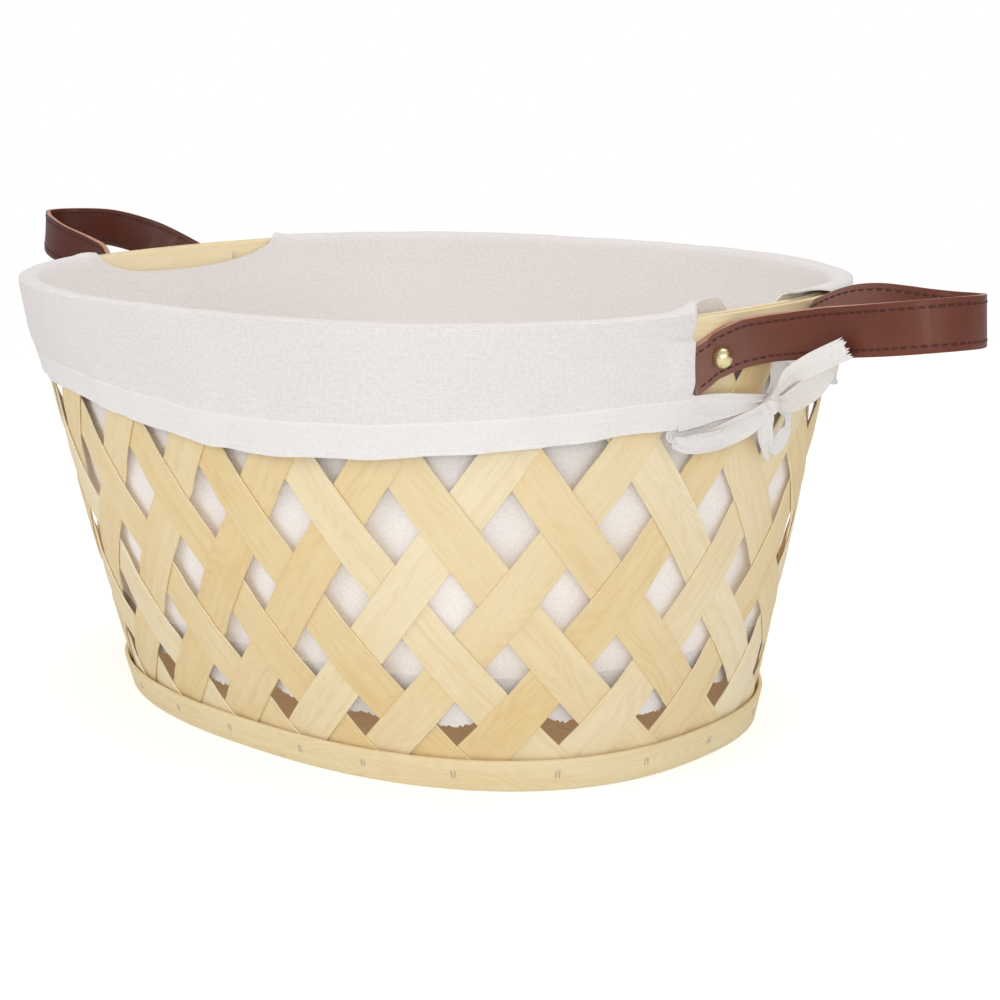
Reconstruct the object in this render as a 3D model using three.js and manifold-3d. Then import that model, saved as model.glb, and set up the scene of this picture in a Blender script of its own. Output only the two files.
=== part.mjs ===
// Oval laundry basket: flat wood splints woven between a base board and a rim of two hoops,
// a cloth liner whose cuffs turn down over the rim, and a riveted leather loop at each end.
// Millimetres, +Z up, +X towards the right-hand handle, origin on the floor under the middle.
import * as THREE from 'three';
import { mergeVertices } from 'three/addons/utils/BufferGeometryUtils.js';
import Module from 'manifold-3d';

const wasm = await Module();
wasm.setup();

// Basket wall, measured on the middle surface of the weave
const HEIGHT = 255;
const RIM_LENGTH = 500;
const RIM_WIDTH = 400;
const BASE_LENGTH = 407;
const BASE_WIDTH = 293;
const SIDE_BULGE = 4.8;
const OVAL_POWER = 2.37;

// Splints: flat strips that lie straight on the flaring wall
const SPLINTS_EACH_WAY = 22;
const SPLINT_WIDTH = 25;
const SPLINT_THICKNESS = 1;
const WEAVE_GAP = 0.9;
const SPLINT_RISE_AT_BASE = 47.8;
const CROSSING_BELOW_RIM = 61;
const WEAVE_PHASE = -0.27;
const SPLINT_END_INSET = 1;

// Board and hoops
const FIT_GAP = 0.3;
const HOOP_CLEARANCE = 0.75;
const BOARD_THICKNESS = 9;
const HOOP_THICKNESS = 2.3;
const BASE_HOOP_HEIGHT = 18;
const RIM_HOOP_HEIGHT = 26;

// Cloth liner
const CLOTH = 1.5;
const LINER_STAND_OFF = 2.2;
const LINER_TAPER = 8;
const LINER_TAPER_POWER = 1.4;
const LINER_FLOOR_HEIGHT = 42;
const LINER_FLOOR_SAG = 7;
const LINER_CORNER = 14;
const LINER_FLOOR_SLOPE = 70;
const CUFF_DROP_MIDDLE = 69;
const CUFF_DROP_ENDS = 56;
const CUFF_STAND_OFF = 6;
const CUFF_WAVE = 1.2;
const CUFF_WAVES = 9;
const CUFF_FROM_TAB = { front: 1.4, rear: 30.4 };
const LINER_DIP = 16;
const LINER_DIP_POWER = 0.7;
const CLOTH_CLEARANCE = 0.7;

// Leather loops and their rivets
const STRAP_WIDTH = 26;
const STRAP_THICKNESS = 3;
const LOOP_LEG_SPACING = 66;
const LOOP_REACH = 102.5;
const LOOP_END_LENGTH = 28;
const LOOP_RISE = 7;
const LOOP_RISE_LENGTH = 20;
const LOOP_LIFT = { right: 4, left: 9.5 };
const LOOP_CLEARANCE = 0.78;
const TAB_LENGTH = 22.5;
const TAB_SLOPE = 27;
const RIVET_FROM_LEG = 8;
const RIVET_ABOVE_HOOP_EDGE = 6;
const RIVET_HEAD = 10;
const RIVET_DOME = 2.8;
const RIVET_SHANK = 4;
const RIVET_HOLE = 4.6;
const RIVET_WASHER = 8;
const RIVET_WASHER_THICKNESS = 1.2;

// Ribbon tie between the cuffs at the right-hand end
const RIBBON_WIDTH = 9;
const RIBBON_THICKNESS = 1.2;
const RIBBON_WIDTH_AT_KNOT = 5.4;
const RIBBON_SAG = 0.75;
const KNOT_BELOW_RIM = 52;
const KNOT_RADIUS = 7;
const BOW_STAND_OFF = 1;
const LONG_LOOP_REACH = 46;
const SHORT_LOOP_REACH = 27.6;
const BOW_LOOP_WIDTH = 13.5;
const BOW_LOOP_DROP = 14;
const LONG_TAIL_REACH = 16.8;
const SHORT_TAIL_REACH = 2.4;
const BOW_TAIL_DROP = 30;

// Mesh fineness
const HOOP_STATIONS = 112;
const LINER_STATIONS = 48;
const CUFF_STATIONS = 42;
const ARC_STEPS = 360;
const BISECTIONS = 40;
const CROSSING_MARGIN = 0.03;
const TAB_STEPS = 4;
const ROOT_STEPS = 4;
const LEG_STEPS = 6;
const TURN_STEPS = 8;
const DOME_STEPS = 3;
const ROUND_STEPS = 16;
const RIBBON_STEPS = 4;
const DRILL_LENGTH = 40;

// Offsets of the layers, measured outwards from the middle of the weave
const weaveShift = (SPLINT_THICKNESS + WEAVE_GAP) / 2;
const weaveFace = weaveShift + SPLINT_THICKNESS / 2;
const hoopInner = weaveFace + HOOP_CLEARANCE;
const hoopOuter = hoopInner + HOOP_THICKNESS;
const linerOuter = -(hoopOuter + LINER_STAND_OFF);
const linerInner = linerOuter - CLOTH;
const strapInner = hoopOuter + FIT_GAP;
const strapOuter = strapInner + STRAP_THICKNESS;

// Places that follow from the sizes
const rimHoopBottom = HEIGHT - RIM_HOOP_HEIGHT;
const pivotHeight = HEIGHT - RIM_HOOP_HEIGHT / 2;
const rivetHeight = rimHoopBottom + RIVET_ABOVE_HOOP_EDGE;
const knotHeight = HEIGHT - KNOT_BELOW_RIM;
const strapHalf = STRAP_WIDTH / 2;
const legY = LOOP_LEG_SPACING / 2;
const rivetDistance = legY + RIVET_FROM_LEG;
const tabSlope = Math.tan(THREE.MathUtils.degToRad(TAB_SLOPE));
const tabStart = legY - STRAP_THICKNESS / 2;
const tabReach = tabStart + TAB_LENGTH + strapHalf * tabSlope;
const frontCuffFromEnds = tabReach + CUFF_FROM_TAB.front;
const rearCuffFromEnds = tabReach + CUFF_FROM_TAB.rear;

const radians = THREE.MathUtils.degToRad;
const mix = THREE.MathUtils.lerp;

// Half length and half width of the oval at a height
function ovalAt(z) {
  const t = z / HEIGHT;
  const bulge = 4 * SIDE_BULGE * t * (1 - t);
  return { a: mix(BASE_LENGTH, RIM_LENGTH, t) / 2, b: mix(BASE_WIDTH, RIM_WIDTH, t) / 2 + bulge };
}

function ovalPoint(angle, z, out = 0) {
  const { a, b } = ovalAt(z);
  const c = Math.cos(angle);
  const s = Math.sin(angle);
  const power = 2 / OVAL_POWER;
  const x = (a + out) * Math.sign(c) * Math.abs(c) ** power;
  const y = (b + out) * Math.sign(s) * Math.abs(s) ** power;
  return new THREE.Vector3(x, y, z);
}

// Arc lengths round the oval at a height, remembered because neighbouring pieces ask again
const arcTables = new Map();
function arcTable(z) {
  const key = Math.round(z * 10);
  if (!arcTables.has(key)) {
    const lengths = [0];
    let last = ovalPoint(0, z);
    for (let i = 1; i <= ARC_STEPS; i += 1) {
      const next = ovalPoint((i / ARC_STEPS) * 2 * Math.PI, z);
      lengths.push(lengths[i - 1] + last.distanceTo(next));
      last = next;
    }
    arcTables.set(key, lengths);
  }
  return arcTables.get(key);
}

const perimeter = (z) => arcTable(z)[ARC_STEPS];

// Point on the wall: share of the way round from the +X end, height, and offset outwards
function wallPoint(share, z, out = 0) {
  const lengths = arcTable(z);
  const wanted = (share - Math.floor(share)) * lengths[ARC_STEPS];
  let low = 0;
  let high = ARC_STEPS;
  while (high - low > 1) {
    const middle = (low + high) >> 1;
    if (lengths[middle] <= wanted) low = middle;
    else high = middle;
  }
  const part = (wanted - lengths[low]) / (lengths[high] - lengths[low]);
  return ovalPoint(((low + part) / ARC_STEPS) * 2 * Math.PI, z, out);
}

function wallNormal(share, z) {
  const step = 1;
  const along = wallPoint(share + step / perimeter(z), z).sub(wallPoint(share - step / perimeter(z), z));
  const up = wallPoint(share, z + step).sub(wallPoint(share, z - step));
  return along.cross(up).normalize();
}

// A closed sheet: stations along it, each a list of [outer, inner] points across it
function slab(stations, ring = false) {
  const across = stations[0].length;
  const positions = stations.flat(2).flatMap((p) => [p.x, p.y, p.z]);
  const at = (s, k, side) => ((s % stations.length) * across + k) * 2 + side;
  const index = [];
  const quad = (a, b, c, d) => index.push(a, b, c, a, c, d);
  const spans = ring ? stations.length : stations.length - 1;
  for (let s = 0; s < spans; s += 1) {
    for (let k = 0; k < across - 1; k += 1) {
      quad(at(s, k, 0), at(s + 1, k, 0), at(s + 1, k + 1, 0), at(s, k + 1, 0));
      quad(at(s, k, 1), at(s, k + 1, 1), at(s + 1, k + 1, 1), at(s + 1, k, 1));
    }
    quad(at(s, 0, 0), at(s, 0, 1), at(s + 1, 0, 1), at(s + 1, 0, 0));
    const last = across - 1;
    quad(at(s, last, 0), at(s + 1, last, 0), at(s + 1, last, 1), at(s, last, 1));
  }
  if (!ring) {
    const end = stations.length - 1;
    for (let k = 0; k < across - 1; k += 1) {
      quad(at(0, k, 0), at(0, k + 1, 0), at(0, k + 1, 1), at(0, k, 1));
      quad(at(end, k, 0), at(end, k, 1), at(end, k + 1, 1), at(end, k + 1, 0));
    }
  }
  return outward(positions, index);
}

// Geometry whose faces point outwards, whichever way the points were listed
function outward(positions, index) {
  const corner = (i) => new THREE.Vector3().fromArray(positions, index[i] * 3);
  let volume = 0;
  for (let i = 0; i < index.length; i += 3) {
    volume += corner(i).dot(corner(i + 1).cross(corner(i + 2)));
  }
  if (volume < 0) {
    for (let i = 0; i < index.length; i += 3) {
      [index[i + 1], index[i + 2]] = [index[i + 2], index[i + 1]];
    }
  }
  const geometry = new THREE.BufferGeometry();
  geometry.setAttribute('position', new THREE.Float32BufferAttribute(positions, 3));
  geometry.setIndex(index);
  return geometry;
}

function toSolid(geometry) {
  const bare = geometry.clone();
  bare.deleteAttribute('normal');
  bare.deleteAttribute('uv');
  const merged = mergeVertices(bare, 1e-4);
  return new wasm.Manifold(new wasm.Mesh({
    numProp: 3,
    vertProperties: new Float32Array(merged.attributes.position.array),
    triVerts: new Uint32Array(merged.index.array),
  }));
}

function toGeometry(solid) {
  const { vertProperties, triVerts } = solid.getMesh();
  const geometry = new THREE.BufferGeometry();
  geometry.setAttribute('position', new THREE.BufferAttribute(new Float32Array(vertProperties), 3));
  geometry.setIndex(new THREE.BufferAttribute(new Uint32Array(triVerts), 1));
  return geometry;
}

const basket = new THREE.Group();

const FINISHES = {
  wood: { color: 0xe6d09c, roughness: 0.6, metalness: 0 },
  cloth: { color: 0xe6e1dc, roughness: 0.95, metalness: 0 },
  leather: { color: 0x7a4a3c, roughness: 0.45, metalness: 0 },
  brass: { color: 0xd8c078, roughness: 0.25, metalness: 1 },
};

function addPart(name, geometry, finish, parent = basket) {
  const mesh = new THREE.Mesh(geometry, new THREE.MeshStandardMaterial(FINISHES[finish]));
  mesh.name = name;
  parent.add(mesh);
  return mesh;
}

// Where the straps are riveted: the end of the basket, and the way round from its middle
const rivetRound = perimeter(rivetHeight);
const fixings = [
  { name: 'right_front', end: 0, turn: -1 },
  { name: 'right_rear', end: 0, turn: 1 },
  { name: 'left_front', end: 0.5, turn: 1 },
  { name: 'left_rear', end: 0.5, turn: -1 },
];
const rivetShare = ({ end, turn }) => end + (turn * rivetDistance) / rivetRound;

// Turned solids stand on their own Y axis, which is laid along the wall's outward normal
function layOnWall(object, share, z, out) {
  const normal = wallNormal(share, z);
  object.position.copy(wallPoint(share, z)).addScaledVector(normal, out);
  object.quaternion.setFromUnitVectors(new THREE.Vector3(0, 1, 0), normal);
  object.updateMatrixWorld();
  return object;
}

const rivetHoles = fixings.map((fixing) => {
  const bit = new THREE.CylinderGeometry(RIVET_HOLE / 2, RIVET_HOLE / 2, DRILL_LENGTH, ROUND_STEPS);
  const drill = new THREE.Mesh(bit);
  layOnWall(drill, rivetShare(fixing), rivetHeight, 0);
  return toSolid(drill.geometry.applyMatrix4(drill.matrixWorld));
});

function drilled(geometry) {
  let solid = toSolid(geometry);
  let cut = false;
  for (const hole of rivetHoles) {
    if (solid.intersect(hole).volume() > 0) {
      solid = solid.subtract(hole);
      cut = true;
    }
  }
  return cut ? toGeometry(solid) : geometry;
}

// Weave rows: a straight strip on a flaring wall keeps perimeter times cosine of its rise
const straightness = perimeter(0) * Math.cos(radians(SPLINT_RISE_AT_BASE));

function rowsPerMillimetre(z) {
  const round = perimeter(z);
  const tangent = Math.sqrt(round ** 2 - straightness ** 2) / straightness;
  const flare = Math.hypot(HEIGHT, (RIM_LENGTH + RIM_WIDTH - BASE_LENGTH - BASE_WIDTH) / 4) / HEIGHT;
  return (2 * SPLINTS_EACH_WAY * flare) / (round * tangent);
}

// Rows passed at each whole millimetre of height. Row numbers count up from a crossing near the
// rim where the right-leaning splint lies outside, so lower rows have negative numbers.
const wholeHeight = Math.ceil(HEIGHT);
const rowTable = [0];
for (let z = 1; z <= wholeHeight; z += 1) {
  rowTable.push(rowTable[z - 1] + rowsPerMillimetre(z - 0.5));
}
const rowsFromFloor = (z) => {
  const low = Math.min(Math.floor(z), wholeHeight - 1);
  return mix(rowTable[low], rowTable[low + 1], z - low);
};
const rimRow = rowsFromFloor(HEIGHT - CROSSING_BELOW_RIM);
const rowAt = (z) => rowsFromFloor(z) - rimRow;

function heightOfRow(row) {
  let low = 0;
  let high = HEIGHT;
  for (let i = 0; i < BISECTIONS; i += 1) {
    const middle = (low + high) / 2;
    if (rowAt(middle) < row) low = middle;
    else high = middle;
  }
  return low;
}

// Width of a splint along the weave's own slanted coordinate, as a share of its pitch
function splintShare(z) {
  const round = perimeter(z);
  const sine = Math.sqrt(1 - (straightness / round) ** 2);
  return (SPLINT_WIDTH * SPLINTS_EACH_WAY) / (round * sine);
}

// One splint. lean is +1 for strips that climb to the right seen from outside, -1 to the left.
// "own" counts across the strips of its own family, "other" along it, one for each crossing.
function splint(number, lean) {
  const bottomRow = rowAt(SPLINT_END_INSET);
  const topRow = rowAt(HEIGHT - SPLINT_END_INSET);
  const stations = [{ end: bottomRow }];
  const firstCrossing = Math.ceil(bottomRow);
  const lastCrossing = Math.floor(topRow);
  for (let row = firstCrossing; row <= lastCrossing; row += 1) {
    const flat = splintShare(heightOfRow(row)) / 2 + CROSSING_MARGIN;
    const side = row % 2 === 0 ? lean : -lean;
    if (row - flat > bottomRow + flat) stations.push({ other: row - flat, side });
    if (row + flat < topRow - flat) stations.push({ other: row + flat, side });
  }
  stations.push({ end: topRow });
  stations[0].side = stations[1].side;
  stations[stations.length - 1].side = stations[stations.length - 2].side;

  // How far along each station lies, for the left edge, middle and right edge of the strip
  const placed = stations.map(({ other, end, side }) => ({
    side,
    along: [-1, 0, 1].map((across) => {
      const row = end ?? other;
      return end === undefined ? other : row + (across * splintShare(heightOfRow(row))) / 2;
    }),
  }));
  const between = (a, b) => ({ side: a.side, along: a.along.map((v, k) => (v + b.along[k]) / 2) });
  placed.splice(placed.length - 1, 0, between(placed.at(-2), placed.at(-1)));
  placed.splice(1, 0, between(placed[0], placed[1]));

  const rows = placed.map(({ side, along }) => along.map((other, k) => {
    const across = k - 1;
    let own = 0;
    for (let i = 0; i < 4; i += 1) own = (across * splintShare(heightOfRow(other - own))) / 2;
    const row = other - own;
    const z = heightOfRow(row);
    const share = (number + WEAVE_PHASE + lean * (own + row / 2)) / SPLINTS_EACH_WAY;
    const middle = side * weaveShift;
    const half = SPLINT_THICKNESS / 2;
    return [wallPoint(share, z, middle + half), wallPoint(share, z, middle - half)];
  }));
  return slab(rows);
}

for (const [family, lean] of [['right', 1], ['left', -1]]) {
  for (let n = 0; n < SPLINTS_EACH_WAY; n += 1) {
    const label = String(n + 1).padStart(2, '0');
    addPart(`splint_${family}_leaning_${label}`, drilled(splint(n, lean)), 'wood');
  }
}

// Hoops: bent bands that clamp the splint ends
function hoop(inner, outer, bottom, top) {
  const stations = [];
  for (let i = 0; i < HOOP_STATIONS; i += 1) {
    const share = i / HOOP_STATIONS;
    stations.push([bottom, top].map((z) => [wallPoint(share, z, outer), wallPoint(share, z, inner)]));
  }
  return slab(stations, true);
}

addPart('base_hoop', hoop(hoopInner, hoopOuter, 0, BASE_HOOP_HEIGHT), 'wood');
addPart('rim_hoop_outer', drilled(hoop(hoopInner, hoopOuter, rimHoopBottom, HEIGHT)), 'wood');
addPart('rim_hoop_inner', drilled(hoop(-hoopOuter, -hoopInner, rimHoopBottom, HEIGHT)), 'wood');

// Base board, let in between the splint feet
const boardOutline = new THREE.Shape(
  Array.from({ length: HOOP_STATIONS }, (_, i) => {
    const p = wallPoint(i / HOOP_STATIONS, 0, -hoopInner);
    return new THREE.Vector2(p.x, p.y);
  }),
);
const board = new THREE.ExtrudeGeometry(boardOutline, { depth: BOARD_THICKNESS, bevelEnabled: false });
addPart('base_board', board, 'wood');

// Liner: a bag that hangs inside, open at the top, with a cuff turned down front and rear
const rimRound = perimeter(HEIGHT);
const cuffs = {
  front: [0.5 + frontCuffFromEnds / rimRound, 1 - frontCuffFromEnds / rimRound],
  rear: [rearCuffFromEnds / rimRound, 0.5 - rearCuffFromEnds / rimRound],
};
const clothTop = HEIGHT + FIT_GAP + CLOTH;
const bagTop = HEIGHT + FIT_GAP + CLOTH / 2;

// The bag's edge drops below the rim in the two gaps between the cuffs
function bagEdge(share) {
  const gaps = [
    [cuffs.front[1] - 1, cuffs.rear[0]],
    [cuffs.rear[1], cuffs.front[0]],
  ];
  for (const [from, to] of gaps) {
    for (const place of [share, share - 1]) {
      const part = (place - from) / (to - from);
      if (part > 0 && part < 1) {
        return bagTop - LINER_DIP * Math.sin(Math.PI * part) ** LINER_DIP_POWER;
      }
    }
  }
  return bagTop;
}

// Rings of the bag's wall, as shares of the way from its floor to the rim hoops
const WALL_RINGS = [0.8, 0.55, 0.3, 0.12];

// Rings of its sagging floor: how far in from the wall, and how much of the sag is reached
const FLOOR_RINGS = [
  { inwards: LINER_CORNER / 3, sag: 0 },
  { inwards: LINER_CORNER, sag: 0.5 },
  { inwards: LINER_FLOOR_SLOPE, sag: 1 },
];

function linerBag() {
  const taper = (z) => LINER_TAPER * (Math.max(HEIGHT - z, 0) / HEIGHT) ** LINER_TAPER_POWER;
  const floorZ = LINER_FLOOR_HEIGHT;
  const ring = (heightAt, out) => Array.from({ length: LINER_STATIONS }, (_, i) => {
    const share = i / LINER_STATIONS;
    const height = heightAt(share);
    return wallPoint(share, height, out - taper(height));
  });
  const bowl = (out, lift) => [
    ring(bagEdge, out),
    ...WALL_RINGS.map((part) => ring(() => mix(floorZ, rimHoopBottom, part), out)),
    ...FLOOR_RINGS.map(({ inwards, sag }) => {
      const level = ring(() => floorZ + lift, out - inwards);
      return level.map((p) => p.setZ(floorZ - LINER_FLOOR_SAG * sag + lift));
    }),
  ];
  const outer = bowl(linerOuter, 0);
  const inner = bowl(linerInner, CLOTH);
  const middles = [floorZ - LINER_FLOOR_SAG, floorZ - LINER_FLOOR_SAG + CLOTH];
  const points = [...outer.flat(), ...inner.flat(), ...middles.map((z) => new THREE.Vector3(0, 0, z))];
  const positions = points.flatMap((p) => [p.x, p.y, p.z]);
  const n = LINER_STATIONS;
  const layer = outer.length * n;
  const index = [];
  const quad = (a, b, c, d) => index.push(a, b, c, a, c, d);
  for (let i = 0; i < n; i += 1) {
    const j = (i + 1) % n;
    for (let r = 0; r < outer.length - 1; r += 1) {
      quad(r * n + i, (r + 1) * n + i, (r + 1) * n + j, r * n + j);
      quad(layer + r * n + i, layer + r * n + j, layer + (r + 1) * n + j, layer + (r + 1) * n + i);
    }
    quad(i, j, layer + j, layer + i);
    const last = (outer.length - 1) * n;
    index.push(last + i, 2 * layer, last + j);
    index.push(layer + last + i, layer + last + j, 2 * layer + 1);
  }
  return outward(positions, index);
}

// A cuff folds over both hoops and hangs a little clear of the wall down to its hem
function cuff([from, to]) {
  const stations = [];
  for (let i = 0; i <= CUFF_STATIONS; i += 1) {
    const part = i / CUFF_STATIONS;
    const share = mix(from, to, part);
    const drop = mix(CUFF_DROP_MIDDLE, CUFF_DROP_ENDS, (2 * part - 1) ** 2);
    const wave = CUFF_WAVE * Math.sin(part * CUFF_WAVES * 2 * Math.PI);
    const face = hoopOuter + CLOTH_CLEARANCE;
    const hemFace = face + CUFF_STAND_OFF + wave;
    const start = linerInner + CLOTH / 3;
    // Each place over the fold: the outer face's offset and height, then the inner face's
    const path = [
      [start, clothTop, start, HEIGHT + FIT_GAP],
      [face + CLOTH / 3, clothTop, face, HEIGHT + FIT_GAP],
      [face + CLOTH, HEIGHT - CLOTH, face, HEIGHT - CLOTH],
      [face + CLOTH, rimHoopBottom, face, rimHoopBottom],
      [hemFace + CLOTH, HEIGHT - drop, hemFace, HEIGHT - drop],
    ];
    stations.push(path.map(([outerFace, outerZ, innerFace, innerZ]) => [
      wallPoint(share, outerZ, outerFace),
      wallPoint(share, innerZ, innerFace),
    ]));
  }
  return slab(stations);
}

const liner = toSolid(linerBag()).add(toSolid(cuff(cuffs.front))).add(toSolid(cuff(cuffs.rear)));
addPart('liner', toGeometry(liner), 'cloth');

// Handle loop: a strap on edge that runs out from the pivot, round the end and back.
// Built about its pivot line: x outwards, y along the pivot, z up.
const legLength = LOOP_REACH - LOOP_END_LENGTH;

function loopPlace(along) {
  if (along < legLength) return { x: along, y: -legY, nx: 0, ny: -1 };
  const turn = (along - legLength) / LOOP_END_LENGTH;
  const forwards = LOOP_END_LENGTH * Math.cos(turn);
  const sideways = legY * Math.sin(turn);
  const x = legLength + LOOP_END_LENGTH * Math.sin(turn);
  const y = -legY * Math.cos(turn);
  const size = Math.hypot(forwards, sideways);
  return { x, y, nx: sideways / size, ny: -forwards / size };
}

function strapStation(along, half, mirror) {
  const { x, y, nx, ny } = loopPlace(along);
  const rise = LOOP_RISE * (1 - Math.exp(-Math.max(along - strapHalf, 0) / LOOP_RISE_LENGTH));
  const t = STRAP_THICKNESS / 2;
  return [rise + half, rise - half].map((z) => [
    new THREE.Vector3(x + nx * t, mirror * (y + ny * t), z),
    new THREE.Vector3(x - nx * t, mirror * (y - ny * t), z),
  ]);
}

// One half of the loop as [distance along, half width], from its round root to the tip
function handleLoop() {
  const quarter = (LOOP_END_LENGTH * Math.PI) / 2;
  const half = [];
  for (let i = 1; i < ROOT_STEPS; i += 1) {
    const angle = (Math.PI / 2) * (i / ROOT_STEPS);
    half.push([-strapHalf * Math.cos(angle), strapHalf * Math.sin(angle)]);
  }
  for (let i = 0; i <= LEG_STEPS; i += 1) half.push([(legLength * i) / LEG_STEPS, strapHalf]);
  for (let i = 1; i < TURN_STEPS; i += 1) half.push([legLength + (quarter * i) / TURN_STEPS, strapHalf]);
  const front = half.map(([along, wide]) => strapStation(along, wide, 1));
  const tip = strapStation(legLength + quarter, strapHalf, 1);
  const rear = half.map(([along, wide]) => strapStation(along, wide, -1)).reverse();
  return slab([...front, tip, ...rear]);
}

// The round roots of the loop sit just clear of the tabs on the flaring wall, so they can swing
const endFlare = (RIM_LENGTH - BASE_LENGTH) / 2 / HEIGHT;
const rootX = wallPoint(tabStart / rimRound, pivotHeight, strapOuter).x;
const pivotX = rootX + (strapHalf + LOOP_CLEARANCE) * Math.hypot(1, endFlare);

for (const side of ['right', 'left']) {
  const turned = new THREE.Group();
  turned.rotation.z = side === 'left' ? Math.PI : 0;
  const pivot = new THREE.Group();
  pivot.position.set(pivotX, 0, pivotHeight);
  pivot.rotation.y = -radians(LOOP_LIFT[side]);
  turned.add(pivot);
  basket.add(turned);
  addPart(`handle_loop_${side}`, handleLoop(), 'leather', pivot);
}

// Strap tabs: the strap's flat ends, riveted to the rim. A tab starts upright behind a leg of
// the loop, slopes down away from it and is cut square at its end.
function strapTab({ end, turn }) {
  const stations = [];
  for (let i = 0; i <= TAB_STEPS; i += 1) {
    const part = i / TAB_STEPS;
    const distance = tabStart + TAB_LENGTH * part;
    const middle = rivetHeight - (distance - rivetDistance) * tabSlope;
    stations.push([strapHalf, 0, -strapHalf].map((up) => {
      const share = end + (turn * (distance + up * tabSlope * part)) / rivetRound;
      return [wallPoint(share, middle + up, strapOuter), wallPoint(share, middle + up, strapInner)];
    }));
  }
  return slab(stations);
}

for (const fixing of fixings) {
  addPart(`strap_tab_${fixing.name}`, drilled(strapTab(fixing)), 'leather');
}

// Rivets: a domed head on the leather, a shank through the rim and a washer inside
const shankBack = -hoopOuter - FIT_GAP - RIVET_WASHER_THICKNESS;
const headSeat = strapOuter + FIT_GAP;
const rivetProfile = [
  [0, shankBack],
  [RIVET_WASHER / 2, shankBack],
  [RIVET_WASHER / 2, shankBack + RIVET_WASHER_THICKNESS],
  [RIVET_SHANK / 2, shankBack + RIVET_WASHER_THICKNESS],
  [RIVET_SHANK / 2, headSeat],
];
for (let i = 0; i < DOME_STEPS; i += 1) {
  const angle = (Math.PI / 2) * (i / DOME_STEPS);
  rivetProfile.push([(RIVET_HEAD / 2) * Math.cos(angle), headSeat + RIVET_DOME * Math.sin(angle)]);
}
rivetProfile.push([0, headSeat + RIVET_DOME]);
const rivetOutline = rivetProfile.map(([radius, height]) => new THREE.Vector2(radius, height));

for (const fixing of fixings) {
  const turned = new THREE.LatheGeometry(rivetOutline, ROUND_STEPS);
  const rivet = addPart(`rivet_${fixing.name}`, turned, 'brass');
  layOnWall(rivet, rivetShare(fixing), rivetHeight, 0);
}

// Ribbon tie: a strip between the two cuffs, knotted at the middle into a small bow
const tieOut = weaveFace + FIT_GAP + RIBBON_THICKNESS / 2;
const tieRound = perimeter(knotHeight);

// Ribbon through places on the end wall, each [distance round the rim, height, stand-off, width]
function ribbon(places) {
  return slab(places.map(([distance, z, stand, width]) => [1, -1].map((edge) => {
    const share = distance / tieRound;
    const height = z + (edge * width) / 2;
    const out = tieOut + stand;
    const t = RIBBON_THICKNESS / 2;
    return [wallPoint(share, height, out + t), wallPoint(share, height, out - t)];
  })));
}

function tieBow() {
  const knotStand = KNOT_RADIUS - RIBBON_THICKNESS / 2;
  const steps = Array.from({ length: RIBBON_STEPS + 1 }, (_, i) => i / RIBBON_STEPS);
  const span = (reach) => steps.map((s) => [
    reach * s,
    knotHeight + 4 * RIBBON_SAG * s * (1 - s),
    knotStand * (1 - s) ** 2,
    mix(RIBBON_WIDTH_AT_KNOT, RIBBON_WIDTH, s),
  ]);
  const hanging = (reach, drop, width) => steps.map((s) => [
    reach * s,
    knotHeight - drop * s,
    knotStand * (1 - s) + BOW_STAND_OFF,
    mix(RIBBON_WIDTH_AT_KNOT, width, s),
  ]);
  const ball = new THREE.SphereGeometry(KNOT_RADIUS, RIBBON_STEPS * 3, RIBBON_STEPS * 2);
  const knot = layOnWall(new THREE.Mesh(ball), 0, knotHeight, tieOut + knotStand);
  let bow = toSolid(ball.applyMatrix4(knot.matrixWorld));
  const strips = [
    span(FIT_GAP - frontCuffFromEnds),
    span(rearCuffFromEnds - FIT_GAP),
    hanging(-LONG_LOOP_REACH, BOW_LOOP_DROP, BOW_LOOP_WIDTH),
    hanging(SHORT_LOOP_REACH, BOW_LOOP_DROP, BOW_LOOP_WIDTH),
    hanging(LONG_TAIL_REACH, BOW_TAIL_DROP, RIBBON_WIDTH),
    hanging(SHORT_TAIL_REACH, BOW_TAIL_DROP, RIBBON_WIDTH),
  ];
  for (const places of strips) bow = bow.add(toSolid(ribbon(places)));
  return toGeometry(bow);
}

addPart('tie_bow_right', tieBow(), 'cloth');

export default basket;
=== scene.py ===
# %% [markdown]
# # Laundry basket
# An oval basket woven from flat wood splints, with a cloth liner turned down over its rim and
# a leather loop at each end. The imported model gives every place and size. This script dresses
# each of its nodes in the form and finish of the real piece.

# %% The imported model
import math

import bpy
import numpy as np
from mathutils import Matrix, Vector


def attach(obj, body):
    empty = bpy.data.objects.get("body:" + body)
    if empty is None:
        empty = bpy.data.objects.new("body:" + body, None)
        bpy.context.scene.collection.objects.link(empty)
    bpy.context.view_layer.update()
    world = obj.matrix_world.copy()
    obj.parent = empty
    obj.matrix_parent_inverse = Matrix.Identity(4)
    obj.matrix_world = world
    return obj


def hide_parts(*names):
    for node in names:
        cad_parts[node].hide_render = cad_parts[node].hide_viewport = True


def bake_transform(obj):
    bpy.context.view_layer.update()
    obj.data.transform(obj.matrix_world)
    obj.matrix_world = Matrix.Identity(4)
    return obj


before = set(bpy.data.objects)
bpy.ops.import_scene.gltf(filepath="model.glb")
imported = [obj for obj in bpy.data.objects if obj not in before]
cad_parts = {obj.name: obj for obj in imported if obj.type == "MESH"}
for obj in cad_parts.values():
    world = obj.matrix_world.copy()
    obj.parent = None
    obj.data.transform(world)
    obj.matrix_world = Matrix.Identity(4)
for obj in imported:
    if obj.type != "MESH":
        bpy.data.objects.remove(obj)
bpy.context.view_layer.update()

# %% [markdown]
# ## Sizes
# Metres, +Z up, +X towards the right-hand handle, floor at zero. They are the sizes of the
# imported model, so that each dressed piece lies where its node lies.

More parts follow.
